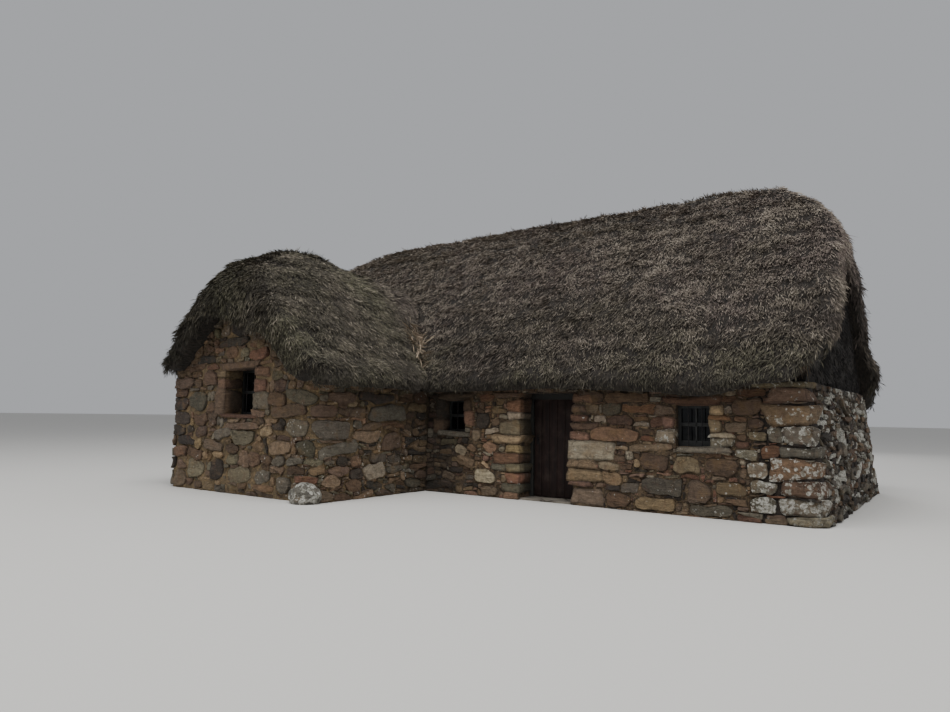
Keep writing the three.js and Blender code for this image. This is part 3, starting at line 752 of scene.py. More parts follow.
def layStones(name, walls, material, meshes="close"):
    # walls: (path, lean, style, stones given one by one, cells, openings)
    kinds = [(least, halfBall(segments, rings)) for least, segments, rings in stoneMeshes[meshes]]
    made = {k: ([], [], []) for k in range(len(kinds))}
    for path, lean, style, fixed, cells, gaps in walls:
        jobs = [(boulderOutline(*row[:4]), row[4], row[5], -sum(row[6:])) for row in fixed]
        jobs += [(cell, None, None, style["slope"](*np.array(cell).mean(0))) for cell in cells]
        for cell, tone, lichen, slope in jobs:
            area, wide, high = cellSize(cell)
            if area < slivers["laid"] or min(wide, high) < slivers["width"]:
                continue
            kind = next(k for k, (least, _) in enumerate(kinds) if area >= least)
            ball = kinds[kind][1]
            place = stonePlaces(cell, stoneLook(style, area, bool(tone)), ball)
            turn = math.radians(chance.normal() * style["turn"] + slope)
            middle = place[:, :2].mean(0)
            place[:, :2] = middle + (place[:, :2] - middle) @ np.array(Matrix.Rotation(turn, 2))
            place[:, :2] += sway(place, style["seed"]) * style["sway"] * freedom(place, gaps)
            place[:, 1] = np.maximum(place[:, 1], 0.002)
            points, tints, wearsAndShade = made[kind]
            points.append(path.wrap(place, lean))
            u, v = place[:, :2].mean(0)
            tint = toneOf([tone] if tone else style["tones"]) * style["light"](u, v)
            rim = np.interp(ball["ring"], (0, 1, 2, 3), (0.36, 0.56, 0.88, 1.0))    # painted shade at the rim, where the joints shade it
            tints.append(tint * rim[:, None])
            grown = lichen if lichen is not None else style["lichen"](u, v) * chance.uniform(0.3, 1.3)
            wear = [chance.random(), grown, min(max(style["dampAndShade"](u, v), 0), 1)]
            wearsAndShade.append(np.repeat([wear], len(place), 0))
    parts = []
    for kind, (points, tints, wearsAndShade) in made.items():
        if points:
            part = joinedMesh(name, np.array(points), kinds[kind][1]["faces"])
            pointColours(part, "stoneColour", np.array(tints))
            pointColours(part, "stoneWear", np.array(wearsAndShade))
            parts.append(part)
    finishStones(name, parts, material)


def finishStones(name, parts, material, swell=((0.11, 0.01), (0.045, 0.004))):
    # swell: the sizes of the last bulges and hollows, and how far they go
    look = {"ground": 0.001, "smoothTo": 42}
    choose(*parts)
    if len(parts) > 1:
        bpy.ops.object.join()
    piece = bpy.context.object
    places, normals = pointsOf(piece), normalsOf(piece)
    for size, amount in swell:
        places += normals * (field(places, size) * amount)[:, None]
    places[:, 2] = np.maximum(places[:, 2], look["ground"])
    movePoints(piece, places)
    choose(piece)
    bpy.ops.object.shade_smooth_by_angle(angle=math.radians(look["smoothTo"]))
    settle(piece, name, material)


def pointWall(name, path, lean, area, step, gaps, relief, material):
    # the mortar between the stones: a sheet over the wall with its own lumps and hollows
    sheet = {"thickness": 0.03, "smoothTo": 50}
    u0, u1, v0, v1 = area
    deselect()
    bpy.ops.mesh.primitive_grid_add(x_subdivisions=round((u1 - u0) / step),
                                    y_subdivisions=round((v1 - v0) / step),
                                    size=1, location=((u0 + u1) / 2, (v0 + v1) / 2, 0))
    piece = bpy.context.object
    piece.scale = (u1 - u0, v1 - v0, 1)
    bpy.ops.object.transform_apply(location=True, rotation=True, scale=True)
    points = pointsOf(piece).round(5)
    for axis in (0, 1):    # the lines next to an opening move to its edge
        lines = np.unique(points[:, axis])
        moved = lines.copy()
        for edge in [g[2 * axis + k] for g in gaps for k in (0, 1)]:
            if lines[1] < edge < lines[-2]:
                moved[np.argmin(np.abs(lines - edge))] = edge
        points[:, axis] = moved[np.searchsorted(lines, points[:, axis])]
    movePoints(piece, points)
    bpy.ops.object.mode_set(mode="EDIT")
    bpy.ops.mesh.select_mode(type="FACE")
    bpy.ops.mesh.select_all(action="DESELECT")
    bpy.ops.object.mode_set(mode="OBJECT")
    for face in piece.data.polygons:
        u, v = points[list(face.vertices), :2].mean(0)
        face.select = any(g[0] < u < g[1] and g[2] < v < g[3] for g in gaps)
    bpy.ops.object.mode_set(mode="EDIT")
    bpy.ops.mesh.delete(type="FACE")
    bpy.ops.mesh.select_mode(type="VERT")
    bpy.ops.object.mode_set(mode="OBJECT")
    depth = piece.modifiers.new("depth", "SOLIDIFY")
    depth.thickness = sheet["thickness"]
    depth.offset = -1
    bpy.ops.object.modifier_apply(modifier=depth.name)
    points = pointsOf(piece)
    front = points[:, 2] > -0.001
    points[front, 2] = relief(points[front, 0], points[front, 1])
    movePoints(piece, path.wrap(points, lean))
    bpy.ops.object.shade_smooth_by_angle(angle=math.radians(sheet["smoothTo"]))
    settle(piece, name, material)
    print(name, len(piece.data.polygons), "faces")


def lumpy(u, v, base, lumps, seed):
    # how far the mortar stands out of the wall
    size = {"broad": 0.3, "fine": 0.1, "fineShare": 0.3}
    flat = np.stack([u, v, u * 0], -1)
    fine = size["fineShare"] * lumps * field(flat, size["fine"], seed + 5.0)
    return base + lumps * field(flat, size["broad"], seed) + fine


def roundedBlock():
    # the start of quoins, jambs, sills and lintels: a cube with five rows a side
    deselect()
    bpy.ops.mesh.primitive_cube_add(size=2, location=(0, 0, 0))
    edit(bpy.ops.mesh.subdivide, number_cuts=4)
    return shapeArrays(bpy.context.object)


def rounded(place):
    # the main range's corners are round in plan
    turn = {"radius": 0.22, "proud": 0.03}
    for x, y, sideX, sideY in ((eastX, frontY, 1, -1), (eastX, backY, 1, 1),
                               (westX, backY, -1, 1), (westX, frontY, -1, -1)):
        middle = np.array([x - sideX * turn["radius"], y - sideY * turn["radius"]])
        away = place[:, :2] - middle
        beyond = (away[:, 0] * sideX > 0) & (away[:, 1] * sideY > 0)
        reach = np.linalg.norm(away, axis=1)
        far = beyond & (reach > turn["radius"] + turn["proud"])
        place[far, :2] = middle + away[far] / reach[far, None] * (turn["radius"] + turn["proud"])
    return place


def layBlocks(name, rows, material):
    # rows: x0, x1, y0, y1, z0, z1, tone, lichen, damp with painted shade on the face and deep in the
    # opening, lean of its wall
    look = {"grow": 0.003, "radius": 0.055, "swell": 0.014, "wedge": 0.12, "turn": 1.6, "dirt": 0.45,
            "deep": (0.05, 0.16), "bulges": ((0.22, 0.03), (0.09, 0.016))}
    start, faces = roundedBlock()
    placed, tints, wearsAndShade = [], [], []
    for x0, x1, y0, y1, z0, z1, tone, lichen, dampAndShade, lean in rows:
        half = np.array([x1 - x0, y1 - y0, z1 - z0]) / 2 + look["grow"]
        middle = np.array([x0 + x1, y0 + y1, z0 + z1]) / 2
        radius = min(look["radius"], 0.55 * half.min()) * chance.uniform(0.7, 1.1)
        step = np.abs(start)
        inner = 1 - radius / half
        spread = np.where(step > 0.9, 1.0, np.where(step > 0.5, inner, 0.34 * inner)) * np.sign(start)
        core = np.clip(spread * half, -(half - radius), half - radius)
        lifted = spread * half - core
        long = np.linalg.norm(lifted, axis=1)
        unitLift = lifted / np.maximum(long, 1e-9)[:, None]
        place = core + unitLift * np.where(long > 1e-6, radius, 0.0)[:, None]
        bulge = (1 - (place / half) ** 2).clip(0).prod(1, where=step < 0.9)
        swell = chance.uniform(0.0, look["swell"]) * bulge
        place = place * (1 + swell[:, None] / half.mean())
        wedge = np.clip(chance.normal(size=3) * look["wedge"], -0.2, 0.2)    # no two sides are parallel
        place[:, 2] *= 1 + wedge[0] * place[:, 0] / half[0]
        place[:, 0] *= 1 + wedge[1] * place[:, 2] / half[2]
        place[:, 2] *= 1 + wedge[2] * place[:, 1] / half[1]
        place = place @ np.array(Matrix.Rotation(math.radians(chance.normal() * look["turn"]), 3, "Y"))
        place = rounded(place + middle)
        dx, dy = lean(place[:, 0], place[:, 1], middle[2] + place[:, 2] * 0)
        place[:, 0] += dx
        place[:, 1] += dy
        place[:, 2] = np.maximum(place[:, 2], 0.002)
        placed.append(place)
        rim = 1 - look["dirt"] * (np.sort(step, 1)[:, 1] > 0.9)    # painted shade along its edges
        tints.append(toneOf([tone]) * rim[:, None])
        face, deep = dampAndShade if isinstance(dampAndShade, tuple) else (dampAndShade, dampAndShade)
        wear = np.repeat([[chance.random(), lichen, face]], len(place), 0)
        # painted shade: the sides deep in an opening darken
        wear[:, 2] += (deep - face) * smooth(place[:, 1] - y0, *look["deep"])
        wearsAndShade.append(wear)
    piece = joinedMesh(name, np.array(placed), faces)
    pointColours(piece, "stoneColour", np.array(tints))
    pointColours(piece, "stoneWear", np.array(wearsAndShade))
    finishStones(name, [piece], material, look["bulges"])
    print(name, len(rows), "blocks")


def groundDamp(up, height=0.3):
    return max(0.0, 0.5 * (1 - up / height))


rubble = {
    "course": (0.14, 0.3), "largest": 0.06, "smallest": 0.008, "lighterUp": 0.35, "aspect": 2.2, "tilt": 6.0,
    "pinned": 0.4, "least": 0.0, "joint": -0.002, "grow": 0.012, "round": 0.019, "edge": 0.021,
    "uneven": 0.07, "rise": 0.048, "highest": 0.07, "chip": 0.42, "sunk": (-0.012, 0.01), "turn": 2.2,
    "sway": 1.1, "seed": 1.0, "slope": lambda u, v: 0.0, "lichen": lambda u, v: 0.12,
    "light": lambda u, v: 1.0, "dampAndShade": lambda u, v: groundDamp(v),
    "tones": ["buff", "brown", "brown", "dun", "dun", "red", "grey", "pale", "pink", "dark"],
}
bouldered = {
    **rubble, "course": (0.2, 0.4), "largest": 0.18, "smallest": 0.03, "aspect": 1.7, "tilt": 12.0,
    "least": 0.006, "joint": -0.008, "grow": 0.03, "round": 0.034, "edge": 0.042, "uneven": 0.08,
    "rise": 0.064, "sunk": (-0.014, 0.008), "turn": 5.0, "sway": 1.2, "seed": 4.0,
    "tones": ["brown", "brown", "grey", "dun", "dun", "buff", "olive", "dark"],
}
slabbed = {
    **rubble, "course": (0.1, 0.22), "largest": 0.05, "smallest": 0.011, "lighterUp": 0.1, "aspect": 5.5,
    "tilt": 9.0, "joint": -0.004, "round": 0.012, "edge": 0.015, "uneven": 0.1, "rise": 0.055, "chip": 0.5,
    "sunk": (-0.02, 0.026), "turn": 4.0, "sway": 0.9, "seed": 7.0,
    "tones": ["grey", "dun", "grey", "dark", "dark", "brown"],
}

# The stones that stand out in the photographed walls: from and to, z from and to, tone, lichen, tilt
frontEastStones = [
    (2.47, 2.78, 0.35, 0.56, "buff", 0.1), (2.52, 2.95, 0.02, 0.26, "brown", 0.1),
    (2.4, 2.75, 0.58, 0.7, "buff", 0.2), (2.66, 2.86, 0.72, 0.8, "brown", 0.1),
    (2.68, 2.9, 0.87, 0.93, "buff", 0.3), (2.25, 3.07, 1.0, 1.2, "orange", 0.15),
    (2.3, 2.52, 1.28, 1.4, "pale", 0.2), (2.52, 2.98, 1.25, 1.39, "red", 0.1),
    (2.98, 3.2, 1.25, 1.31, "pale", 0.3), (2.98, 3.2, 1.32, 1.38, "brown", 0),
    (3.2, 3.43, 1.24, 1.38, "red", 0), (2.2, 2.4, 1.42, 1.57, "buff", 0.1),
    (2.45, 2.8, 1.41, 1.57, "olive", 0.1), (2.8, 3.3, 1.42, 1.56, "orange", 0),
    (2.04, 2.5, 1.6, 1.76, "brown", 0), (2.5, 3.2, 1.58, 1.73, "brown", 0),
    (3.07, 3.3, 1.12, 1.22, "brown", 0), (3.07, 3.3, 1.03, 1.11, "red", 0.1),
    (2.88, 3.57, 0.88, 0.99, "buff", 0.2), (4.43, 4.76, 0.84, 0.98, "pale", 0.5),
    (4.45, 4.64, 1.0, 1.09, "red", 0.1), (4.45, 4.62, 1.1, 1.19, "brown", 0.1),
    (4.3, 4.63, 1.21, 1.33, "buff", 0.1), (4.32, 4.45, 1.42, 1.56, "pale", 0.2),
    (4.46, 4.83, 1.42, 1.65, "brown", 0.15), (4.26, 4.5, 1.6, 1.7, "orange", 0),
    (4.5, 4.9, 1.67, 1.78, "orange", 0), (4.64, 4.9, 1.08, 1.22, "yellow", 0.4),
    (4.64, 4.86, 1.25, 1.38, "brown", 0.1), (4.8, 5.04, 0.85, 1.02, "red", 0.3),
    (4.58, 4.9, 0.6, 0.83, "pale", 0.52), (4.6, 5.03, 0.37, 0.58, "grey", 0.56),
    (4.6, 4.99, 0.13, 0.35, "grey", 0.7), (4.9, 5.1, 1.05, 1.25, "grey", 0.45),
    (3.05, 3.5, 0.62, 0.85, "brown", 0.1), (3.55, 3.95, 0.55, 0.84, "buff", 0.15),
    (4.0, 4.5, 0.58, 0.82, "brown", 0.2), (3.1, 3.7, 0.28, 0.5, "grey", 0.2),
    (3.75, 4.15, 0.2, 0.5, "brown", 0.2), (4.2, 4.56, 0.3, 0.52, "buff", 0.3),
    (3.0, 3.6, 0.02, 0.24, "buff", 0.2), (3.8, 4.4, 0.02, 0.18, "grey", 0.3),
]
frontWestStones = [
    (0.08, 0.38, 1.16, 1.41, "dark", 0.05), (0.02, 0.19, 0.93, 1.16, "buff", 0.1),
    (0.25, 0.58, 1.04, 1.15, "pale", 0.1), (0.12, 0.47, 1.58, 1.71, "red", 0),
    (0.48, 0.64, 1.52, 1.65, "buff", 0), (0.41, 0.72, 1.39, 1.48, "buff", 0),
    (0.58, 0.75, 1.29, 1.38, "pale", 0), (0.41, 0.58, 1.18, 1.31, "dun", 0),
    (0.59, 0.71, 0.75, 0.84, "pale", 0), (0.24, 0.57, 0.74, 0.9, "pink", 0, -22),
    (0.31, 0.48, 0.96, 1.03, "dun", 0), (-0.34, -0.06, 0.66, 0.84, "pale", 0, -30),
    (-0.06, 0.13, 0.72, 0.86, "dun", 0, -28), (-0.05, 0.12, 0.86, 0.92, "buff", 0, -12),
    (-0.49, -0.28, 0.57, 0.66, "buff", 0), (-0.28, 0.09, 0.48, 0.65, "buff", 0.05, -18),
    (-0.45, -0.15, 0.37, 0.48, "dark", 0.05), (0.06, 0.55, 0.21, 0.45, "pale", 0.25, -6),
    (0.24, 0.58, 0.02, 0.18, "buff", 0.1), (0.15, 0.23, 0.67, 0.74, "pale", 0),
    (0.25, 0.42, 0.59, 0.68, "pink", 0), (0.21, 0.41, 0.5, 0.57, "buff", 0, -20),
    (-0.67, -0.28, 0.85, 0.94, "olive", 0, -4), (-0.66, -0.42, 0.77, 0.83, "dark", 0),
    (-0.66, -0.38, 0.68, 0.77, "dun", 0), (-0.64, -0.36, 0.23, 0.37, "buff", 0),
    (-0.65, -0.49, 0.42, 0.51, "dun", 0), (-0.34, -0.14, 0.25, 0.33, "dun", 0),
    (-0.29, -0.15, 0.02, 0.17, "buff", 0), (0.63, 0.74, 0.25, 0.38, "buff", 0),
    (0.13, 0.23, 0.81, 0.89, "dun", 0),
]
# The wing's are measured along its wall, from the west end round to the east one
wingStones = [
    (3.04, 3.56, 1.36, 1.71, "olive", 0.1), (2.36, 3.04, 1.36, 1.61, "dark", 0.2),
    (2.36, 3.11, 1.12, 1.35, "dark", 0.1), (2.36, 2.96, 0.92, 1.1, "dark", 0.1),
    (2.96, 3.21, 0.98, 1.12, "dark", 0.1), (3.18, 3.58, 1.16, 1.33, "brown", 0),
    (3.58, 3.87, 1.22, 1.31, "brown", 0), (2.68, 3.28, 0.74, 0.92, "dark", 0.1),
    (2.65, 3.03, 0.54, 0.72, "brown", 0.1), (3.06, 3.51, 0.54, 0.71, "brown", 0.1),
    (3.23, 3.6, 0.92, 1.15, "brown", 0), (4.86, 5.13, 1.18, 1.25, "dun", 0),
    (5.24, 5.64, 1.5, 1.7, "brown", 0.1), (4.08, 4.99, 1.09, 1.18, "brown", 0),
    (3.85, 4.31, 0.89, 1.09, "grey", 0.1), (4.31, 4.88, 0.8, 1.09, "olive", 0.1),
    (4.99, 5.37, 0.99, 1.13, "buff", 0.1), (5.37, 5.63, 1.06, 1.16, "dark", 0.1),
    (3.54, 4.09, 0.68, 0.87, "dun", 0.1), (4.15, 4.54, 0.66, 0.8, "brown", 0),
    (5.25, 5.82, 0.69, 0.91, "buff", 0.1), (4.16, 4.51, 0.49, 0.65, "olive", 0.1),
    (4.54, 4.81, 0.44, 0.72, "dun", 0.1), (4.82, 5.1, 0.46, 0.71, "brown", 0.1),
    (5.12, 5.35, 0.54, 0.69, "brown", 0.1), (5.36, 5.66, 0.54, 0.67, "grey", 0.1),
    (3.06, 3.61, 0.19, 0.54, "olive", 0.15), (3.78, 4.12, 0.21, 0.54, "dark", 0.1, 8),
    (4.22, 4.85, 0.2, 0.44, "olive", 0.1), (4.87, 5.37, 0.18, 0.44, "grey", 0.2),
    (5.37, 5.65, 0.39, 0.53, "dun", 0.1), (5.71, 6.09, 0.54, 0.65, "grey", 0.1),
    (5.46, 5.85, 0.09, 0.36, "grey", 0.15), (3.55, 3.88, 0.02, 0.14, "buff", 0),
    (3.91, 4.08, 0.02, 0.13, "grey", 0), (4.24, 4.51, 0.04, 0.16, "yellow", 0),
    (4.88, 5.16, 0.71, 0.9, "buff", 0.1), (5.65, 6.3, 1.51, 1.7, "olive", 0.15),
    (5.27, 6.15, 1.27, 1.5, "brown", 0.1), (6.16, 6.61, 1.28, 1.5, "brown", 0.1),
    (6.63, 7.26, 1.28, 1.47, "dun", 0.25), (7.3, 8.25, 1.21, 1.53, "grey", 0.15),
    # the stone from 7.05 to 7.94 under the eave is dark as painted shade
    (6.47, 6.99, 1.56, 1.71, "brown", 0.1), (7.05, 7.94, 1.54, 1.7, "dark", 0.1),
    (5.5, 5.64, 1.16, 1.23, "dark", 0.1), (5.66, 6.2, 0.98, 1.25, "olive", 0.25),
    (6.2, 6.96, 0.95, 1.24, "grey", 0.15, -3), (7.17, 7.61, 1.09, 1.2, "dun", 0),
    (7.61, 8.22, 1.12, 1.2, "brown", 0), (6.98, 7.58, 0.9, 1.08, "dun", 0.1),
    (7.62, 8.16, 0.74, 1.05, "brown", 0.1), (5.93, 6.3, 0.72, 0.93, "olive", 0.15),
    (6.31, 7.1, 0.71, 0.9, "grey", 0.1), (6.09, 6.4, 0.57, 0.7, "olive", 0.2),
    (5.72, 6.14, 0.4, 0.52, "brown", 0.1), (6.19, 6.47, 0.4, 0.56, "dun", 0.1),
    (6.91, 7.16, 0.52, 0.68, "dun", 0.1), (7.35, 7.77, 0.57, 0.72, "grey", 0.1),
    (7.23, 7.76, 0.29, 0.56, "pale", 0.15), (7.8, 8.09, 0.57, 0.69, "grey", 0.2),
    (7.77, 8.21, 0.38, 0.5, "grey", 0.2), (5.93, 6.35, 0.29, 0.38, "red", 0),
    (8.26, 8.68, 0.08, 0.22, "olive", 0), (6.66, 6.87, 0.55, 0.69, "dark", 0.1),
    (6.5, 6.88, 0.38, 0.54, "brown", 0.1), (6.41, 6.73, 0.22, 0.37, "dun", 0.1),
    (6.88, 7.2, 0.34, 0.48, "dark", 0.1), (6.8, 7.18, 0.14, 0.32, "brown", 0.1),
    (7.27, 7.71, 0.12, 0.26, "dark", 0.1), (4.05, 4.36, 2.27, 2.46, "brown", 0.1),
    (4.42, 4.69, 2.27, 2.43, "olive", 0.1), (4.72, 5.18, 2.2, 2.41, "red", 0.05),
    (3.44, 3.85, 1.79, 2.04, "brown", 0.1), (3.49, 3.88, 2.08, 2.17, "red", 0.1),
    (3.22, 3.81, 2.2, 2.32, "dark", 0.1), (2.85, 3.46, 2.08, 2.16, "brown", 0.1),
    (2.64, 3.1, 1.98, 2.08, "dun", 0.1), (3.12, 3.42, 1.94, 2.05, "brown", 0.3),
    (2.36, 3.18, 1.77, 1.94, "brown", 0.1), (3.2, 3.43, 1.78, 1.9, "brown", 0.1),
    (3.48, 3.74, 2.41, 2.53, "brown", 0.1), (3.88, 4.7, 2.48, 2.6, "dark", 0.1),
    (4.14, 4.75, 2.62, 2.91, "dark", 0), (3.9, 4.12, 2.65, 2.82, "pale", 0.3),
    (5.26, 5.53, 1.89, 2.0, "olive", 0.1), (2.36, 3.01, 1.61, 1.77, "brown", 0.1),
]


def taken(rows):
    return [tuple(row[:4]) for row in rows]


def filled(zones, style, gaps):
    cells = [cell for zone in zones for cell in courses(zone, style)]
    for gap in gaps:
        cells = [part for cell in cells for part in outside(cell, gap)]
    return [cell for cell in cells if cellSize(cell)[0] > style["least"]]    # smaller ones stay mortar


def opening(box):
    # a window frame's box as x from and to, z from and to, y from and to
    low, high = box
    return low[0], high[0], low[2], high[2], low[1], high[1]


def surround(rows, proud, deep, lean):
    # rows: x from and to, z from and to, tone, lichen, damp with painted shade, and how much further out
    # than the others
    blocks = []
    for x0, x1, z0, z1, tone, lichen, dampAndShade, *further in rows:
        face = proud + math.copysign(sum(further), proud - deep)
        blocks.append((x0, x1, *sorted((face, deep)), z0, z1, tone, lichen, dampAndShade, lean))
    return blocks


def frontMasonry(material, mortar):
    wall = {"reveal": 0.34, "proud": 0.03, "doorTop": 1.75, "edge": 0.02, "mortarStep": 0.045}
    doorX0, doorX1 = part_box("door_threshold")[0][0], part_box("door_threshold")[1][0]
    path = WallPath([(wingEastX, frontY), (eastX, frontY)])
    shift = -wingEastX
    reveal = frontY + wall["reveal"]
    proud = frontY - wall["proud"]
    # right side of the doorway: x to, z from and to, tone, how far it stands into the doorway
    right = (
        (2.5, 0.0, 0.29, "buff", 0.03), (2.3, 0.3, 0.37, "red", 0.06), (2.47, 0.37, 0.57, "buff", 0.08),
        (2.38, 0.58, 0.7, "buff", 0.08), (2.67, 0.71, 0.99, "pale", 0.09), (2.24, 1.0, 1.14, "red", 0.06),
        (2.38, 1.15, 1.28, "brown", 0.04), (2.22, 1.29, 1.4, "red", 0.05), (2.18, 1.42, 1.57, "brown", 0.04),
        (2.3, 1.58, 1.74, "brown", 0.02),
    )
    # its left side: x from, z from and to, tone, how far it stands into the doorway
    left = (
        (0.7, 0.0, 0.11, "brown", 0.0), (0.66, 0.11, 0.24, "olive", 0.03), (0.74, 0.24, 0.43, "red", 0.02),
        (0.74, 0.45, 0.57, "olive", 0.03), (0.5, 0.59, 0.73, "orange", 0.0),
        (0.72, 0.75, 0.89, "yellow", 0.01), (0.48, 0.9, 1.04, "buff", 0.02),
        (0.6, 1.05, 1.28, "olive", 0.01), (0.76, 1.3, 1.42, "pale", 0.02),
        (0.72, 1.43, 1.64, "orange", 0.02), (0.48, 1.66, 1.75, "brown", 0.02),
    )
    blocks = surround([(doorX1 - into, x1, z0, z1, tone, 0.12, groundDamp(z0))
                       for x1, z0, z1, tone, into in right], proud, reveal, mainLean)
    # the doorway's left side darkens deep in the opening as painted shade
    blocks += surround([(x0, doorX0 + into, z0, z1, tone, 0.1, (groundDamp(z0) * 0.4, 1.0))
                        for x0, z0, z1, tone, into in left], proud - 0.01, reveal, mainLean)
    blocks += surround([(0.44, 0.735, 0.46, 0.56, "grey", 0.1, 0.1)], proud, reveal - 0.1, mainLean)
    # the corner by the east gable: x from, how deep it is, z from and to, tone, lichen
    for x0, deep, z0, z1, tone, lichen in (
            (5.1, 0.45, 0.0, 0.12, "pale", 0.5), (5.0, 0.3, 0.13, 0.35, "grey", 0.72),
            (5.04, 0.5, 0.37, 0.58, "brown", 0.56), (4.91, 0.32, 0.6, 0.84, "brown", 0.58),
            (5.05, 0.48, 0.86, 1.03, "grey", 0.4), (5.11, 0.26, 1.05, 1.26, "grey", 0.5),
            (4.87, 0.42, 1.28, 1.58, "dun", 0.34), (4.95, 0.28, 1.6, 1.79, "brown", 0.3),
            (4.72, 0.4, 1.8, 1.87, "olive", 0.3)):
        row = (x0, eastX + 0.025, z0, z1, tone, lichen, groundDamp(z0))
        blocks += surround([row], proud - 0.01, frontY + deep, mainLean)
    frames = {"east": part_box("east_window_frame"), "inner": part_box("inner_window_frame")}
    x0, x1, z0, z1, deep, _ = opening(frames["east"])
    blocks += surround([
        (x0 - 0.18, x1 + 0.18, z1 + 0.004, z1 + 0.12, "red", 0.05, 0.3),
        (x0 + 0.02, x1 + 0.3, z0 - 0.07, z0 - 0.002, "grey", 0.15, 0.0, 0.02),
        # the left reveal's stones darken deep in the opening as painted shade
        (x0 - 0.3, x0 - 0.006, 1.0, 1.21, "pale", 0.5, (0.0, 0.6)),
        (x0 - 0.2, x0 - 0.012, 1.23, 1.39, "red", 0.05, (0.0, 0.6)),
        (x0 - 0.3, x0 - 0.012, 1.41, 1.56, "brown", 0.05, (0.1, 0.7)),
        (x1 + 0.012, x1 + 0.34, 0.98, 1.1, "pale", 0.4, 0.0),
        (x1 + 0.01, x1 + 0.33, 1.11, 1.17, "pale", 0.4, 0.0),
        (x1 + 0.012, x1 + 0.17, 1.19, 1.34, "buff", 0.1, 0.0),
        (x1 + 0.006, x1 + 0.3, 1.35, 1.41, "orange", 0.05, 0.0),
        (x1 + 0.012, x1 + 0.19, 1.42, 1.56, "buff", 0.1, 0.0),
    ], proud, deep, mainLean)
    x0, x1, z0, z1, deep, _ = opening(frames["inner"])
    blocks += surround([
        (x0 - 0.15, x1 + 0.17, z1 + 0.003, z1 + 0.12, "brown", 0.0, 0.6),
        (x0 - 0.1, x1 + 0.12, z0 - 0.07, z0 - 0.002, "grey", 0.0, 0.4, 0.01),
        (x1 - 0.012, x1 + 0.2, 1.2, 1.42, "red", 0.0, 0.2),
        (x1 - 0.01, x1 + 0.14, 1.43, 1.63, "brown", 0.0, 0.3),
        # the left reveal's stones are darkened as painted shade
        (x0 - 0.25, x0 + 0.012, 1.06, 1.3, "brown", 0.0, (0.7, 0.9)),
        (x0 - 0.2, x0 + 0.01, 1.31, 1.64, "dark", 0.0, 0.8),
    ], proud, deep, mainLean)
    layBlocks("front_wall_blocks", blocks, material)
    fixed = [(row[0] + shift, row[1] + shift, *row[2:]) for row in frontEastStones + frontWestStones]
    gaps = [(x0 + shift, x1 + shift, z0, z1) for x0, x1, z0, z1, *_ in map(opening, frames.values())]
    gaps.append((doorX0 + shift, doorX1 + shift, 0.0, wall["doorTop"]))
    faces = [(row[0] + shift, min(row[1] + shift, path.length), row[4], row[5]) for row in blocks]
    end = path.length - wall["edge"]
    top = wallTop - wall["edge"]
    style = {
        **rubble, "lichen": lambda u, v: 0.15 + max(0.0, 0.45 - (path.length - u) * 0.5),
        # painted shade: darker by the inner corner at the wing and in the eave's shadow, besides damp at the
        # foot
        "dampAndShade": lambda u, v: (min(1.0, max(0.0, 1.15 - u) * 1.5) + groundDamp(v) * 0.7
                              + max(0.0, v - 1.5) * 1.6),
        "slope": lambda u, v: 16.0 * math.exp(-((u - 0.9) / 0.4) ** 2 - ((v - 0.75) / 0.35) ** 2),
        "light": lambda u, v: 1.07 - 0.28 * smooth(u, doorX0 + shift, doorX1 + shift),
    }
    cells = filled([(wall["edge"], end, 0.0, top)], style, taken(fixed) + gaps + faces)
    layStones("front_wall_stones", [(path, mainLean, style, fixed, cells, gaps)], material)
    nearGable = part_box("east_gable_wall")[0][0] + shift

    def relief(u, v):
        return lumpy(u, v, 0.002 - 0.014 * smooth(u, nearGable - 0.5, nearGable), 0.03, 3.0)

    area = (wall["edge"], nearGable, 0.0, top)
    pointWall("front_wall_mortar", path, mainLean, area, wall["mortarStep"], gaps, relief, mortar)


quoins = {
    "heights": (0.26, 0.2, 0.27, 0.22, 0.17, 0.25, 0.2, 0.22), "reach": ((0.52, 0.26), (0.28, 0.5)),
    "proud": 0.025, "joint": 0.004, "tones": ("grey", "brown", "buff", "grey"),
}


def corners(x, y, sideX, sideY, lean, lichen):
    # alternating quoins up a corner
    rows = []
    z = 0.0
    for i, height in enumerate(quoins["heights"]):
        reach = quoins["reach"][i % 2]
        xs = sorted((x + sideX * quoins["proud"], x - sideX * reach[0] * chance.uniform(0.85, 1.15)))
        ys = sorted((y + sideY * quoins["proud"], y - sideY * reach[1] * chance.uniform(0.85, 1.15)))
        tone = quoins["tones"][chance.integers(4)]
        zs = (z + quoins["joint"], z + height - quoins["joint"])
        rows.append((*xs, *ys, *zs, tone, lichen, groundDamp(z), lean))
        z += height
    return rows


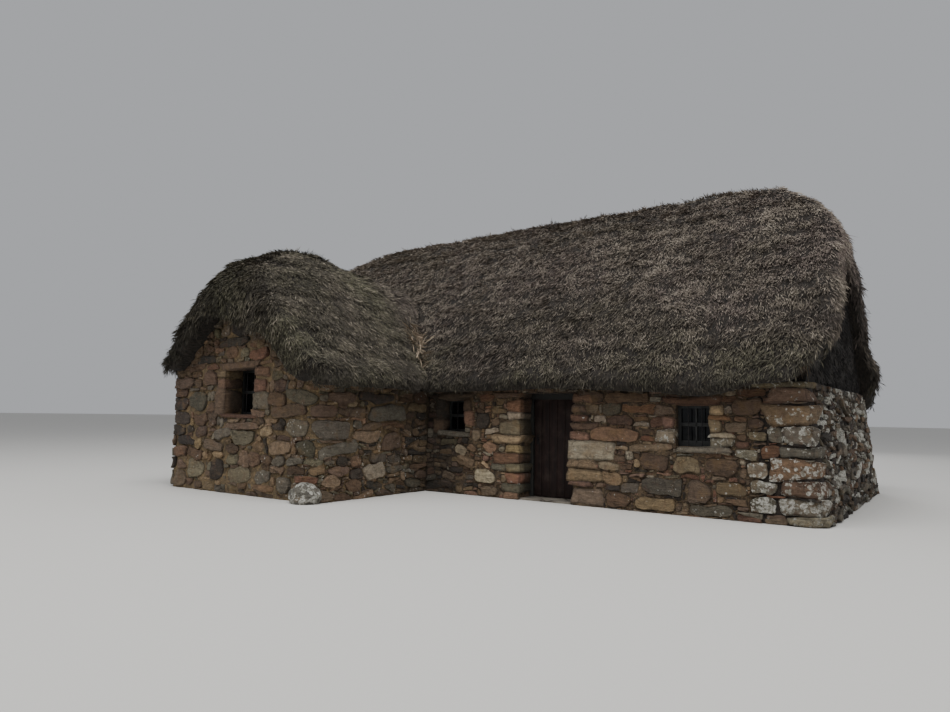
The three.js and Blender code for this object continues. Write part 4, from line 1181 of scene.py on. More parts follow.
def farMasonry(material):
    # the sides that the photograph hardly shows repeat the same work
    blocks = corners(eastX, backY, 1, 1, mainLean, 0.4) + corners(westX, backY, -1, 1, mainLean, 0.3)
    blocks += corners(westX, frontY, -1, -1, mainLean, 0.3)
    x0, x1, z0, z1, _, deep = opening(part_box("back_window_frame"))
    around = surround([
        (x0 - 0.16, x1 + 0.18, z1 + 0.004, z1 + 0.12, "red", 0.1, 0.2),
        (x0 - 0.1, x1 + 0.12, z0 - 0.07, z0 - 0.002, "grey", 0.2, 0.0, 0.02),
        (x0 - 0.26, x0 + 0.012, z0 + 0.01, z0 + 0.26, "brown", 0.1, 0.0),
        (x0 - 0.2, x0 + 0.01, z0 + 0.28, z1, "buff", 0.1, 0.0),
        (x1 - 0.012, x1 + 0.22, z0 + 0.01, z0 + 0.34, "grey", 0.2, 0.0),
        (x1 - 0.01, x1 + 0.28, z0 + 0.36, z1, "red", 0.1, 0.0),
    ], backY + 0.03, deep, mainLean)
    layBlocks("far_corner_blocks", blocks + around, material)
    east = WallPath([(eastX, frontY), (eastX, backY)])
    back = WallPath([(eastX, backY), (westX, backY)])
    west = WallPath([(westX, backY), (westX, frontY)])
    strip = WallPath([(westX, frontY), (wingWestX, frontY)])
    top = wallTop - 0.02
    gable = {
        **slabbed, "light": lambda u, v: chance.uniform(0.6, 1.15),
        "lichen": lambda u, v: chance.choice((0.1, 0.35, 1.2), p=(0.42, 0.25, 0.33)),
    }
    far = {
        **gable, "largest": 0.08, "smallest": 0.018,
        "lichen": lambda u, v: chance.choice((0.1, 0.3, 0.9), p=(0.5, 0.3, 0.2)),
    }
    plain = {**rubble, "largest": 0.12, "smallest": 0.021, "seed": 2.5, "lichen": lambda u, v: 0.25}
    window = [(eastX - x1, eastX - x0, z0, z1)]
    faces = [(eastX - row[1], eastX - row[0], row[4], row[5]) for row in around]

    def stretch(path, style, start, end, gaps=(), openings=()):
        # a wall laid by rule from start up to end before its end
        cells = filled([(start, path.length - end, 0.0, top)], style, gaps)
        return path, mainLean, style, [], cells, list(openings)

    layStones("east_gable_stones", [stretch(east, gable, 0.28, 0.25)], material, "far")
    layStones("back_wall_stones", [stretch(back, plain, 0.27, 0.27, window + faces, window)],
              material, "far")
    layStones("west_gable_stones", [stretch(west, far, 0.25, 0.25), stretch(strip, plain, 0.3, 0.0)],
              material, "far")


def wingMasonry(material, mortar):
    wall = {"proud": 0.028, "edge": 0.02, "mortarStep": 0.05, "westTop": 2.1, "slice": 0.05, "above": 9.0}
    verge = {"foot": 1.7, "top": 3.2, "half": 0.58}    # the stones of the gable over the wall head
    plan = [(wingWestX, frontY), (wingWestX, wingFrontY), (wingEastX, wingFrontY), (wingEastX, frontY)]
    path = WallPath(plan, (0.15, 0.33))
    x0, x1, z0, z1, deep, _ = opening(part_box("wing_window_frame"))
    blocks = surround([
        (x0 - 0.18, x1 + 0.1, z1 + 0.003, z1 + 0.12, "dun", 0.05, (0.0, 0.6)),
        (x0 - 0.06, x1 + 0.12, z0 - 0.05, z0 - 0.002, "red", 0.0, 0.1, 0.01),
        # the left reveal's stones darken deep in the opening as painted shade
        (x0 - 0.28, x0 + 0.014, z0 + 0.005, z0 + 0.44, "brown", 0.05, (0.2, 1.0)),
        (x0 - 0.22, x0 + 0.014, z0 + 0.45, z0 + 0.61, "brown", 0.05, (0.1, 1.0)),
        (x0 - 0.24, x0 + 0.014, z0 + 0.62, z1, "buff", 0.05, (0.1, 0.5)),
        (x1 - 0.012, x1 + 0.3, z0 - 0.05, z0 + 0.08, "brown", 0.0, 0.0),
        (x1 - 0.012, x1 + 0.38, z0 + 0.1, z0 + 0.36, "grey", 0.1, 0.0),
        (x1 - 0.01, x1 + 0.3, z0 + 0.38, z0 + 0.6, "red", 0.0, 0.0),
        (x1 - 0.012, x1 + 0.38, z0 + 0.62, z1 + 0.04, "orange", 0.0, 0.0),
    ], wingFrontY - wall["proud"], deep, upright)
    layBlocks("wing_window_blocks", blocks, material)

    def onFront(x):
        return path.at(x, wingFrontY)

    window = (onFront(x0), onFront(x1), z0, z1)
    faces = [(onFront(row[0]), onFront(row[1]), row[4], row[5]) for row in blocks]
    turn = path.at(wingEastX, wingFrontY + 0.4)
    style = {
        **bouldered, "light": lambda u, v: 0.87,
        # painted shade: darker towards the inner corner and high on the gable under the thatch, besides damp
        # at the foot
        "dampAndShade": lambda u, v: max(0.0, u - turn - 1.3) * 0.9 + groundDamp(v, 0.2) + max(0.0, v - 2.3) * 0.5,
        "lichen": lambda u, v: 0.12 + 0.15 * (u > turn - 1.0),
    }
    ragged = {    # the side wall's smaller and rougher stones
        **style, "aspect": 3.2, "course": (0.1, 0.22), "largest": 0.05, "round": 0.016, "edge": 0.02,
        "uneven": 0.07, "least": 0.0, "joint": -0.003,
    }
    flat = {**style, "aspect": 2.4, "largest": 0.05}    # the gable's
    gaps = taken(wingStones) + faces + [window]
    cells = filled([(0.0, turn - 0.6, 0.0, wallTop)], style, gaps)
    cells += filled([(turn - 0.6, path.length - wall["edge"], 0.0, wallTop)], ragged, gaps)
    middle = onFront((wingWestX + wingEastX) / 2)
    left, right = middle - verge["foot"], middle + verge["foot"]
    upper = filled([(left, right, wallTop, verge["top"])], flat, gaps)
    for sign in (-1, 1):
        foot = (middle + sign * verge["foot"], wallTop)
        run = (sign * (verge["half"] - verge["foot"]), verge["top"] - wallTop)
        normal = (sign * run[1], -sign * run[0])
        upper = [cutCell(cell, foot, normal) for cell in upper]
    cells += [cell for cell in upper if len(cell) > 2]
    layStones("wing_stones", [(path, upright, style, wingStones, cells, [window])], material)

    def relief(u, v):
        flush = smooth(turn - u, 0.4, 1.6)    # the joints of the side wall are deep
        return lumpy(u, v, -0.02 + 0.02 * flush + 0.012 * flush * smooth(0.7 - v, 0.0, 0.5), 0.032, 6.0)

    # no mortar over the verge of the gable, nor over the wall head beside it
    above = []
    for u in np.arange(left, right, wall["slice"]):
        share = (verge["foot"] - abs(u + 0.025 - middle)) / (verge["foot"] - verge["half"])
        up = wallTop + (verge["top"] - wallTop) * min(1.0, share)
        above.append((u, u + wall["slice"], up, wall["above"]))
    westTurn = path.at(wingWestX, wingFrontY + 0.2)
    aside = [(-1.0, westTurn, wallTop, wall["above"]), (westTurn, left, wall["westTop"], wall["above"]),
             (right, path.length + 1.0, wallTop, wall["above"])]
    area = (wall["edge"], path.length - wall["edge"], 0.0, verge["top"])
    bare = [window] + aside + above
    pointWall("wing_mortar", path, upright, area, wall["mortarStep"], bare, relief, mortar)


# Thatch

def mainLines(x, y, z):
    # the ridge sags westwards, the near verge is cut back low down, the far one flares at its foot
    worn = {"near": 0.27, "far": 0.19, "slim": 0.075, "foot": -0.12, "eave": 0.06, "lip": 0.07}
    sag = ((-5.0, -2.0, 1.0, 3.5, 4.4, 5.3), (0.175, 0.15, 0.105, 0.1, 0.06, 0.09))
    dips = ((-5, 0.6, 1.5, 2.2, 2.9, 3.4, 3.9, 4.4, 4.8, 5.2, 5.6),
            (0.0, 0.5, 1.1, 0.9, 0.2, 0.0, -1.1, -1.1, -1.0, -1.1, -0.6))
    east = smooth(x, 4.2, 5.3)
    across = -worn["near"] * east * smooth(-y, 0.7, 1.5) * smooth(2.5 - z, 0.0, 0.55)
    across += worn["far"] * east * smooth(y, 2.4, 3.6) * smooth(2.9 - z, 0.0, 0.7)
    across -= worn["slim"] * east * smooth(y, 0.8, 2.2) * smooth(4.8 - z, 0.0, 0.8)
    up = worn["foot"] * east * smooth(y, 2.4, 3.6) * smooth(2.3 - z, 0.0, 0.5)
    up -= np.interp(x, *sag) * smooth(z, 4.5, 5.2)
    eave = worn["lip"] + worn["eave"] * np.interp(x, *dips)
    up += eave * smooth(-y, 1.2, 1.7) * smooth(2.2 - z, 0.0, 0.35)
    return x + across, y, z + up


def wingLines(x, y, z):
    # the wing's thatch hangs lower over the right of its gable than over the left
    worn = {"ridge": 0.08, "west": 0.11, "westEave": 0.2, "eastEave": 0.09, "verge": 0.17, "hollow": 0.27,
            "crown": 0.25, "brow": 0.1}
    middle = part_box("wing_thatch_east")[0][0]
    west = smooth(middle - x, 0.5, 1.9)
    lifted = worn["westEave"] * west * smooth(2.6 - z, 0.0, 0.7)
    lifted += worn["eastEave"] * smooth(x - middle, 1.2, 1.9) * smooth(2.3 - z, 0.0, 0.4)
    hung = worn["verge"] * smooth(-y, 3.8, 4.4) * smooth(x - middle, 0.3, 0.9) * smooth(-x, 0.8, 1.3)
    hollow = worn["hollow"] * smooth(middle - x, 0.2, 0.9)
    hollow = hollow * smooth(z, 2.3, 3.2) * (1 - smooth(z, 3.85, 4.15))
    # the verge is thin over the top of the gable
    crown = worn["crown"] * np.exp(-((x - middle + 0.25) / 0.5) ** 2)
    lifted += crown * smooth(-y, 3.9, 4.3) * (1 - smooth(z, 3.1, 3.6))
    hung += worn["brow"] * smooth(-y, 3.2, 4.4) * smooth(z, 3.1, 3.8)
    return x + worn["west"] * west + hollow, y, z - worn["ridge"] * smooth(z, 3.6, 4.1) + lifted - hung


def roofForm(name, nodes, material, lines):
    # the solids joined, softened and set to the roof's worn lines: the mass under the loose stems
    form = {"voxel": 0.115, "soften": 4, "factor": 0.6, "lumps": 0.05, "lumpSize": 0.6}
    copies = []
    for node in nodes:
        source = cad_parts[node]
        copy = source.copy()
        copy.data = source.data.copy()
        bpy.context.collection.objects.link(copy)
        copies.append(copy)
    choose(*copies)
    if len(copies) > 1:
        bpy.ops.object.join()
    piece = bpy.context.object
    piece.parent = None
    edit(bpy.ops.mesh.remove_doubles, threshold=0.0001)
    piece.data.remesh_voxel_size = form["voxel"]
    bpy.ops.object.voxel_remesh()
    soften = piece.modifiers.new("soften", "SMOOTH")
    soften.iterations = form["soften"]
    soften.factor = form["factor"]
    bpy.ops.object.modifier_apply(modifier=soften.name)
    points, normals = pointsOf(piece), normalsOf(piece)
    lumps = field(points, form["lumpSize"])
    points += normals * (form["lumps"] * lumps * (normals[:, 2] > -0.2))[:, None]
    movePoints(piece, np.stack(lines(*points.T), -1))
    bpy.ops.object.shade_smooth()
    settle(piece, name, material, replaces=nodes)
    print(name, len(piece.data.polygons), "faces")
    return piece


def stemShape():
    # one heather stem, from its root at y = 0 to its tip at y = 1
    deselect()
    bpy.ops.mesh.primitive_circle_add(vertices=3, radius=2 / 3, fill_type="NGON", location=(0, 0, 0))
    edit(bpy.ops.transform.translate, value=(0, 1 / 3, 0))
    points, faces = shapeArrays(bpy.context.object)
    points[:, 0] /= np.abs(points[:, 0]).max() * 2
    points[points[:, 0] > 0.1, 1] = 0.55    # the belly of the stem
    return points, faces


def surfaceSpots(piece, count, wanted):
    # random places on a mesh, with their normals
    piece.data.calc_loop_triangles()
    corners = np.array([t.vertices[:] for t in piece.data.loop_triangles])
    points, normals = pointsOf(piece), normalsOf(piece)
    a, b, c = points[corners[:, 0]], points[corners[:, 1]], points[corners[:, 2]]
    cross = np.cross(b - a, c - a)
    area = np.linalg.norm(cross, axis=1) / 2
    weight = area * wanted((a + b + c) / 3, cross / np.maximum(2 * area, 1e-9)[:, None])
    pick = chance.choice(len(area), size=count, p=weight / weight.sum())
    r1 = np.sqrt(chance.random(count))[:, None]
    r2 = chance.random(count)[:, None]
    shares = (1 - r1, r1 * (1 - r2), r1 * r2)
    spot = sum(points[corners[pick, k]] * shares[k] for k in range(3))
    normal = sum(normals[corners[pick, k]] * shares[k] for k in range(3))
    return spot, unit(normal)


def field(points, size, shift=0.0):
    return np.array([noise.noise(Vector(p) / size + Vector((shift, shift, shift))) for p in points])


def unit(vectors):
    return vectors / np.maximum(np.linalg.norm(vectors, axis=1), 1e-9)[:, None]


def growStems(name, root, heading, normal, length, width, lift, droop, roll, tone, material):
    # copies of the stem: each lies along its heading, rises by its lift and sinks again by its droop
    highest = cadBounds[1][2] + 0.14
    shape, faces = stemShape()
    beside = unit(np.cross(normal, heading)) * np.cos(roll)[:, None] + normal * np.sin(roll)[:, None]
    along = shape[:, 1]
    placed = np.empty((len(root), len(shape), 3))
    for i, (x, y, _) in enumerate(shape):
        placed[:, i] = (root + beside * (width * x)[:, None] + heading * (length * y)[:, None]
                        + normal * (length * (lift * y - droop * y * y))[:, None])
    placed[:, :, 2] = np.minimum(placed[:, :, 2], highest)
    piece = joinedMesh(name, placed, faces)
    hue, bright = tone
    count = len(shape)
    colours = np.stack([np.repeat(hue[:, None], count, 1), np.repeat(bright[:, None], count, 1),
                        np.repeat(along[None], len(root), 0)], -1)
    pointColours(piece, "strandTone", colours)
    settle(piece, name, material)
    print(name, len(root), "stems,", len(piece.data.polygons), "triangles")


heather = {
    "stems": 16, "spread": 0.042, "length": (0.07, 0.14), "width": (0.01, 0.018), "lift": 0.3, "swirl": 0.45,
    "fan": 0.36, "roll": 0.7, "relief": 0.032, "course": 0.3, "eave": 2.14, "eaveDepth": 0.4,
    "eaveShade": -0.7, "clumpTone": 0.34, "closeTone": 0.3, "broadTone": 0.2, "tuftTone": 0.1,
    "stemTone": 0.24, "heightLight": 0.0, "heightLightRange": (2.1, 4.3), "shade": lambda spots: 0.0,
}


def coverWithStems(name, form, wanted, olive, material, tufts, look, tone):
    # tufts of stems that point down the slope, each stem with its own tone
    size = {"broad": 0.7, "close": 0.2, "clump": 0.13, "course": 1.2, "hue": 0.9}
    spots, normals = surfaceSpots(form, tufts, wanted)
    down = np.array([0.0, 0.0, -1.0]) - normals * (-normals[:, 2])[:, None]
    down = unit(down + chance.normal(size=down.shape) * 0.03)
    side = np.cross(normals, down)
    broad = field(spots, size["broad"])
    close = field(spots, size["close"], 7.3)
    clump = field(spots, size["clump"], 21.0)
    flat = np.clip(normals[:, 2] - 0.8, 0, 0.2) * 5
    turn = look["swirl"] * (broad + close) + flat * chance.normal(size=tufts) * 0.8
    course = (spots[:, 2] / look["course"] + 0.5 * field(spots, size["course"], 5.0)) % 1.0
    tuftLift = look["lift"] * (0.6 + 0.9 * (1 - course)) + 0.1 * np.abs(chance.normal(size=tufts))
    tuftLift = tuftLift + flat * 0.1
    height = look["relief"] * (0.8 * clump + 0.55 * close + 0.3 * (0.5 - course))
    atEave = smooth(look["eave"] - spots[:, 2], 0.0, look["eaveDepth"])
    # painted light and shade: stems lighter high on the roof and darker low down
    tuftTone = tone + look["heightLight"] * (smooth(spots[:, 2], *look["heightLightRange"]) - 0.6) - look["shade"](spots)
    # painted shade: stems darker at the eave
    tuftTone += (look["eaveShade"] * atEave + look["clumpTone"] * clump + look["closeTone"] * close
                 + look["broadTone"] * broad + look["tuftTone"] * chance.normal(size=tufts))
    hue = olive(spots) + 0.45 * field(spots, size["hue"], 11.0) + 0.1 * chance.normal(size=tufts)
    hue = np.clip(hue, 0, 1)
    stems = look["stems"]
    total = tufts * stems
    each = np.repeat(np.arange(tufts), stems)
    angle = turn[each] + look["fan"] * chance.normal(size=total)
    n, t, s = normals[each], down[each], side[each]
    heading = t * np.cos(angle)[:, None] + s * np.sin(angle)[:, None]
    root = spots[each] + t * (chance.normal(size=total) * look["spread"])[:, None]
    root += s * (chance.normal(size=total) * look["spread"])[:, None]
    root += n * (height[each] + chance.uniform(-0.02, 0.012, total))[:, None]
    length = chance.uniform(*look["length"], total) * (1 - 0.4 * atEave[each])
    width = chance.uniform(*look["width"], total)
    lift = tuftLift[each] + 0.09 * chance.normal(size=total)
    droop = chance.uniform(0.05, 0.3, total)
    bright = np.clip(tuftTone[each] + look["stemTone"] * chance.normal(size=total), 0, 1)
    roll = chance.normal(size=total) * look["roll"]
    tones = (hue[each], bright)
    growStems(name, root, heading, n, length, width, lift, droop, roll, tones, material)


def outerOnly(tree):
    # weights for the faces that look outwards: a ray from an inner face meets the roof again
    def wanted(middles, normals):
        seen = np.ones(len(middles))
        for i, (p, n) in enumerate(zip(middles, normals)):
            if n[2] < 0.1:
                hit = tree.ray_cast(Vector(p + n * 0.03), Vector(n), 9.0)
                if hit[0] is not None or n[2] < -0.3:
                    seen[i] = 0.0
        return seen
    return wanted


def treeOf(piece):
    mesh = piece.data
    return BVHTree.FromPolygons([v.co for v in mesh.vertices], [p.vertices for p in mesh.polygons])


def thatch(massLook, stemLook):
    main = roofForm("main_thatch_mass", ["main_thatch_front", "main_thatch_back"], massLook, mainLines)
    wing = roofForm("wing_thatch_mass", ["wing_thatch_east", "wing_thatch_west"], massLook, wingLines)
    onMain = outerOnly(treeOf(main))
    onWing = outerOnly(treeOf(wing))
    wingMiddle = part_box("wing_thatch_east")[0][0]

    def mainOlive(spots):
        return 0.15 + 0.6 * np.clip((3.2 - spots[:, 2]) / 1.3, 0, 1)

    def mainLightAndShade(spots):
        # painted shade on the east verge, deeper on its far part that is seen from below, and painted light
        # on the west end
        verge = smooth(spots[:, 0], 5.15, 5.5)
        return verge * (0.17 + 0.3 * smooth(spots[:, 1], 1.2, 2.2)) - 0.13 * smooth(-spots[:, 0], -1.5, 2.5)

    def wingShade(spots):
        # the verge over the gable's left half hangs in its own shade
        west = 0.55 * smooth(-3.5 - spots[:, 0], 0.0, 0.6)
        return west * smooth(-spots[:, 1], 3.8, 4.3) * smooth(3.3 - spots[:, 2], 0.0, 0.7)

    def wingOlive(spots):
        back = 0.6 * np.clip((spots[:, 1] + 2.6) / 2.0, 0, 1)
        return 0.8 - back * np.clip((spots[:, 2] - 2.4) / 1.0, 0, 1)

    ofMain = {**heather, "heightLight": 0.3, "shade": mainLightAndShade}
    # fewer and larger stems where the photograph doesn't look
    ofBack = {**ofMain, "length": (0.1, 0.19), "width": (0.015, 0.026), "spread": 0.058}
    ofWing = {**heather, "shade": wingShade}
    # name, mass, which of its faces, hue, tufts, look, tone
    covers = [
        ("main_thatch_stems_front", main, lambda p, n: onMain(p, n) * (p[:, 1] < ridgeY),
         mainOlive, 12300, ofMain, 0.56),
        ("main_thatch_stems_back", main, lambda p, n: onMain(p, n) * (p[:, 1] >= ridgeY),
         mainOlive, 6900, ofBack, 0.52),
        ("wing_thatch_stems_east", wing, lambda p, n: onWing(p, n) * (p[:, 0] > wingMiddle),
         wingOlive, 5600, ofWing, 0.22),
        # the west side's lower tone is painted shade
        ("wing_thatch_stems_west", wing, lambda p, n: onWing(p, n) * (p[:, 0] <= wingMiddle),
         wingOlive, 4700, ofWing, 0.16),
    ]
    for name, form, wanted, olive, tufts, look, tone in covers:
        coverWithStems(name, form, wanted, olive, stemLook, tufts, look, tone)
    return treeOf(main), treeOf(wing)


straws = {
    # old straw where the two roofs meet, and twigs that hang from the eave's end
    # their roots lie on the roof unless a height is given
    "valley_straw": {"from": (-1.5, -1.46), "to": (-1.06, -1.74), "spread": 0.08, "stems": 260,
                     "hue": 0.1, "tone": 0.62, "hang": 0.15, "lift": 0.35, "height": None},
    "corner_twigs": {"from": (5.06, -1.74), "to": (5.36, -1.6), "spread": 0.03, "stems": 120,
                     "hue": 0.9, "tone": 0.2, "hang": 4.0, "lift": 0.0, "height": 2.2},
}


def bareStraw(trees, material):
    common = {"length": (0.12, 0.34), "width": (0.009, 0.015), "droop": 0.25, "vary": 0.25, "clear": 0.04}
    for name, look in straws.items():
        stems, spread = look["stems"], look["spread"]
        share = chance.random(stems)[:, None]
        places = np.array(look["from"]) * (1 - share) + np.array(look["to"]) * share
        places = places + chance.normal(size=(stems, 2)) * spread
        roots, normals = [], []
        for x, y in places:
            if look["height"]:
                roots.append((x, y, look["height"] + spread * chance.normal()))
                normals.append((0.2, -1.0, 0.0))
                continue
            hits = [tree.ray_cast(Vector((x, y, 7.0)), Vector((0, 0, -1))) for tree in trees]
            top = max((hit for hit in hits if hit[0] is not None), key=lambda hit: hit[0].z)
            roots.append(top[0][:])
            normals.append(top[1][:])
        normals = unit(np.array(normals))
        roots = np.array(roots) + normals * common["clear"]
        heading = chance.normal(size=(stems, 3)) * (1, 1, 0.4) - np.array([0, 0, look["hang"]])
        heading = unit(heading - normals * (heading * normals).sum(1)[:, None])
        brights = np.clip(look["tone"] + common["vary"] * chance.normal(size=stems), 0, 1)
        hues = np.clip(look["hue"] + common["vary"] * chance.normal(size=stems), 0, 1)
        length = chance.uniform(*common["length"], stems)
        width = chance.uniform(*common["width"], stems)
        lift = look["lift"] + 0.2 * chance.normal(size=stems)
        droop = np.full(stems, common["droop"])
        roll = chance.normal(size=stems)
        growStems(name, roots, heading, normals, length, width, lift, droop, roll, (hues, brights),
                  material)


def gablePanels(material):
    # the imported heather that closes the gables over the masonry
    look = {**heather, "length": (0.07, 0.13), "lift": 0.35, "relief": 0.03, "fan": 0.5, "eave": 0.0}
    # painted shade: dark stems at a low tone for the recess under the verge
    panel = {"tufts": 420, "tone": 0.17, "hue": 0.1}
    for side, outward in (("east", 1), ("west", -1)):
        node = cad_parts[side + "_gable_panel"]
        coverWithStems(side + "_gable_heather", node, lambda p, n: (n[:, 0] * outward > 0.9) * 1.0,
                       lambda spots: np.full(len(spots), panel["hue"]), material, panel["tufts"], look,
                       panel["tone"])


# The rest of the pieces

def dress(names, material):
    # gives carried-over solids their finish
    for name in names:
        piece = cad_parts[name]
        for slot in piece.material_slots:
            slot.material = material


def cornerBoulder(material):
    look = {"colour": srgb(112, 108, 98), "wear": (0.6, 0.62, 0.0), "swell": 1.1,
            "shift": (0.015, -0.01, -0.01), "humps": (4.0, 0.09), "ridges": (9.0, 0.035),
            "pits": (22.0, 0.008)}
    low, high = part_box("corner_boulder")
    deselect()
    bpy.ops.mesh.primitive_ico_sphere_add(subdivisions=4, radius=0.5,
                                          location=(low + high) / 2 + Vector(look["shift"]))
    piece = bpy.context.object
    piece.scale = (high - low) * look["swell"]
    bpy.ops.object.transform_apply(location=True, rotation=True, scale=True)
    for vertex in piece.data.vertices:
        humps, ridges, pits = [noise.noise(vertex.co * look[k][0]) for k in ("humps", "ridges", "pits")]
        bulge = humps * look["humps"][1] + abs(ridges) * look["ridges"][1] + pits * look["pits"][1]
        vertex.co += vertex.normal * bulge
        vertex.co.z = max(vertex.co.z, 0.001)
    bpy.ops.object.shade_smooth()
    count = len(piece.data.vertices)
    pointColours(piece, "stoneColour", np.repeat([look["colour"]], count, 0))
    pointColours(piece, "stoneWear", np.repeat([look["wear"]], count, 0))
    settle(piece, "corner_boulder_stone", material, replaces=["corner_boulder"])


def block(low, high, bevel=0.004):
    # a box with softened edges
    deselect()
    low, high = Vector(low), Vector(high)
    bpy.ops.mesh.primitive_cube_add(size=1, location=(low + high) / 2)
    piece = bpy.context.object
    piece.scale = high - low
    bpy.ops.object.transform_apply(location=False, rotation=False, scale=True)
    edge = piece.modifiers.new("edge", "BEVEL")
    edge.width = bevel
    edge.segments = 2
    bpy.ops.object.modifier_apply(modifier=edge.name)
    return piece


def joined(pieces):
    # several objects made into one
    choose(*pieces)
    if len(pieces) > 1:
        bpy.ops.object.join()
    bpy.ops.object.shade_smooth_by_angle(angle=math.radians(35))
    return bpy.context.object


def boardedDoor(material):
    door = {"boards": 6, "gap": 0.004, "uneven": 0.003, "softened": 0.006}
    low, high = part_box("door_leaf")
    wide = (high[0] - low[0]) / door["boards"]
    boards = []
    for i in range(door["boards"]):
        x0 = low[0] + i * wide + door["gap"] / 2
        x1 = x0 + wide - door["gap"]
        front = low[1] + chance.uniform(0.0, door["uneven"])
        boards.append(block((x0, front, low[2]), (x1, high[1], high[2]), door["softened"]))
    settle(joined(boards), "door_boards", material, body="door",
           replaces=["door_leaf"])


glazing = {
    # where the glazing bars and iron rods are, as shares of the frame's height or width, and the outer side
    "east_window": {"rails": (0.09, 0.53), "uprights": (0.52,), "rods": (0.33, 0.72), "side": -1},
    "inner_window": {"rails": (0.5,), "uprights": (), "rods": (0.5,), "side": -1},
    "wing_window": {"rails": (0.5,), "uprights": (0.5,), "rods": (0.25, 0.5, 0.75), "side": -1},
    "back_window": {"rails": (0.5,), "uprights": (0.5,), "rods": (), "side": 1},
}


def windowBars(paint, iron):
    size = {"upright": 0.026, "rail": 0.055, "rod": 0.008, "set": 0.004, "rodsOut": 0.05, "rodEnds": 0.02}
    for name, look in glazing.items():
        low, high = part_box(name + "_frame")
        glassLow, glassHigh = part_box(name + "_glass")
        y0, y1 = low[1] + size["set"], glassLow[1] - 0.001
        if look["side"] > 0:
            y0, y1 = glassHigh[1] + 0.001, high[1] - size["set"]
        parts = []
        half = size["rail"] / 2
        for share in look["rails"]:
            z = low[2] + (high[2] - low[2]) * share
            parts.append(block((glassLow[0], y0, z - half), (glassHigh[0], y1, z + half)))
        half = size["upright"] / 2
        for share in look["uprights"]:
            x = low[0] + (high[0] - low[0]) * share
            parts.append(block((x - half, y0, glassLow[2]), (x + half, y1, glassHigh[2])))
        settle(joined(parts), name + "_glazing_bars", paint)
        rods = []
        for share in look["rods"]:
            x = low[0] + (high[0] - low[0]) * share
            deselect()
            bpy.ops.mesh.primitive_cylinder_add(
                vertices=12, radius=size["rod"], depth=high[2] - low[2] + size["rodEnds"],
                location=(x, low[1] - size["rodsOut"], (low[2] + high[2]) / 2))
            rods.append(bpy.context.object)
        if rods:
            settle(joined(rods), name + "_iron_bars", iron)


def stage():
    room = {"floor": srgb(205, 203, 198), "sky": (0.86, 0.88, 0.92), "skyStrength": 0.5, "size": 400,
            "lampsFace": (0, 0, 1.5)}
    deselect()
    bpy.ops.mesh.primitive_plane_add(size=room["size"], location=(0, 0, -0.001))
    floor = bpy.context.object
    floor.name = "floor"
    r = Recipe("pale_floor")
    floor.data.materials.append(r.finish(Base_Color=room["floor"], Roughness=0.9))
    world = bpy.data.worlds.new("studio")
    bpy.context.scene.world = world
    world.use_nodes = True
    world.node_tree.nodes["Background"].inputs[0].default_value = (*room["sky"], 1.0)
    world.node_tree.nodes["Background"].inputs[1].default_value = room["skyStrength"]
    lamps = {"key": ((6.0, -9.0, 20.5), 4600.0, 13.0), "fill": ((-9.0, -17.0, 12.0), 700.0, 10.0),
             "back": ((-4.0, 20.0, 10.0), 900.0, 10.0)}
    for name, (place, power, size) in lamps.items():
        deselect()
        turn = (Vector(room["lampsFace"]) - Vector(place)).to_track_quat("-Z", "Y").to_euler()
        bpy.ops.object.light_add(type="AREA", location=place, rotation=turn)
        bpy.context.object.data.energy = power
        bpy.context.object.data.size = size
        bpy.context.object.name = name


camera()
stone = stoneMaterial()
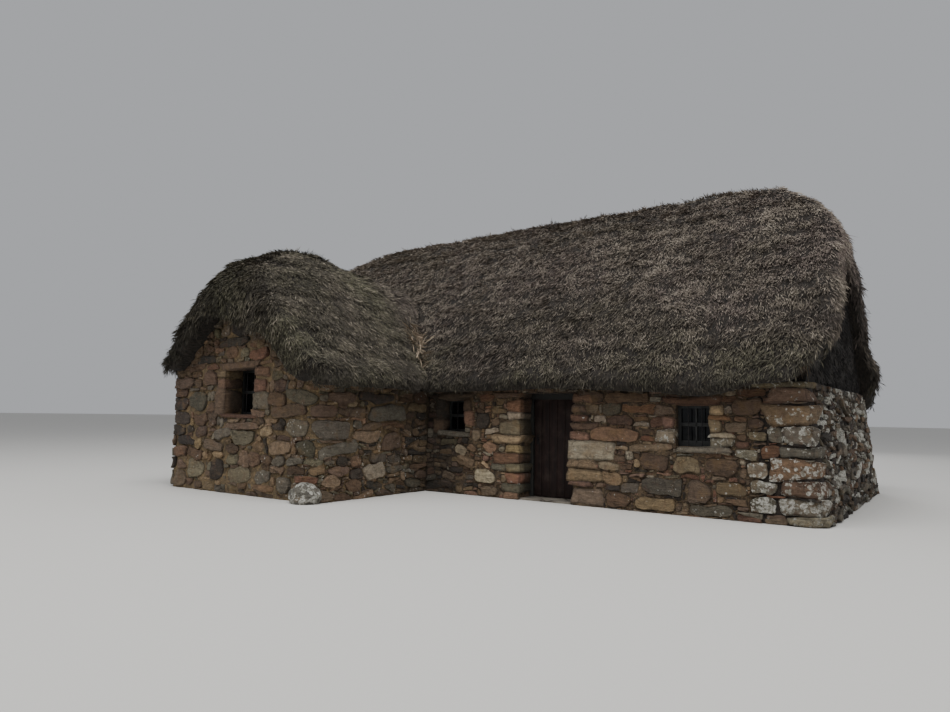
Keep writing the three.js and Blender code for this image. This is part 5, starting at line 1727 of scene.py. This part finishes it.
# the front's and the wing's joints darken towards the inner corner with damp and painted shade
earthJoint = mortarMaterial("earth_joint", srgb(118, 98, 73), srgb(40, 34, 27), 0.35, ("X", 0.15, -0.65))
deepJoint = mortarMaterial("deep_joint", srgb(58, 49, 41), srgb(25, 21, 18), 0.4)
clayJoint = mortarMaterial("clay_joint", srgb(141, 118, 84), srgb(78, 67, 50), 0.3, ("Y", -3.0, -1.7))
thatchMass = massMaterial()
stems = stemMaterial("thatch_stems", srgb(112, 99, 92), srgb(102, 99, 78),
                     srgb(148, 138, 124), srgb(36, 32, 28))
# the gable panels' dark stems are painted shade of the recess
darkStems = stemMaterial("recess_shaded_heather", srgb(36, 31, 29), srgb(36, 32, 28),
                         srgb(50, 45, 41), srgb(12, 10, 9))
strawStems = stemMaterial("bare_straw", srgb(158, 142, 120), srgb(104, 82, 66),
                          srgb(205, 190, 166), srgb(84, 71, 57))
roofWood = woodMaterial("roof_timber", srgb(96, 76, 58), srgb(52, 40, 31), "z")
doorWood = woodMaterial("door_boards_wood", srgb(42, 27, 24), srgb(21, 14, 13), "z", 0.7)
# the door frame's top is painted black as shade under the eave
framePaint = paintMaterial("frame_paint", srgb(40, 41, 38), srgb(82, 76, 66), 1.62)
windowPaint = paintMaterial("window_paint", srgb(34, 35, 34), srgb(72, 70, 64))
iron = ironMaterial()
glass = glassMaterial()
flags = flagMaterial()
# the lintels' dark colour is painted shade under the eaves
shadedLintelStone = mortarMaterial("lintel_stone", srgb(74, 60, 50), srgb(46, 38, 32), 0.5)
print("materials made")

frontMasonry(stone, earthJoint)
farMasonry(stone)
wingMasonry(stone, clayJoint)
roofs = thatch(thatchMass, stems)
bareStraw(roofs, strawStems)
gablePanels(darkStems)
cornerBoulder(stone)
boardedDoor(doorWood)
windowBars(windowPaint, iron)
dress(["front_wall_west", "front_wall_east"], earthJoint)
dress(["east_gable_wall", "west_gable_wall", "back_wall"], deepJoint)
dress(["wing_gable_wall", "wing_east_wall", "wing_west_wall"], clayJoint)
dress([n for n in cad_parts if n.endswith("_lintel")], shadedLintelStone)
dress([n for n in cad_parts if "_gable_panel" in n], thatchMass)
dress([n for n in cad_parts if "couple" in n or n == "ridge_pole"], roofWood)
dress(["door_ledges"], doorWood)
dress(["door_frame"], framePaint)
dress([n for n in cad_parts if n.endswith("_window_frame")], windowPaint)
dress([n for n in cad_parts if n.endswith("_window_glass")], glass)
dress(["door_latch"] + [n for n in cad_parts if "strap" in n or "pintle" in n], iron)
dress(["flag_floor", "door_threshold"], flags)
stage()

print("scene done")
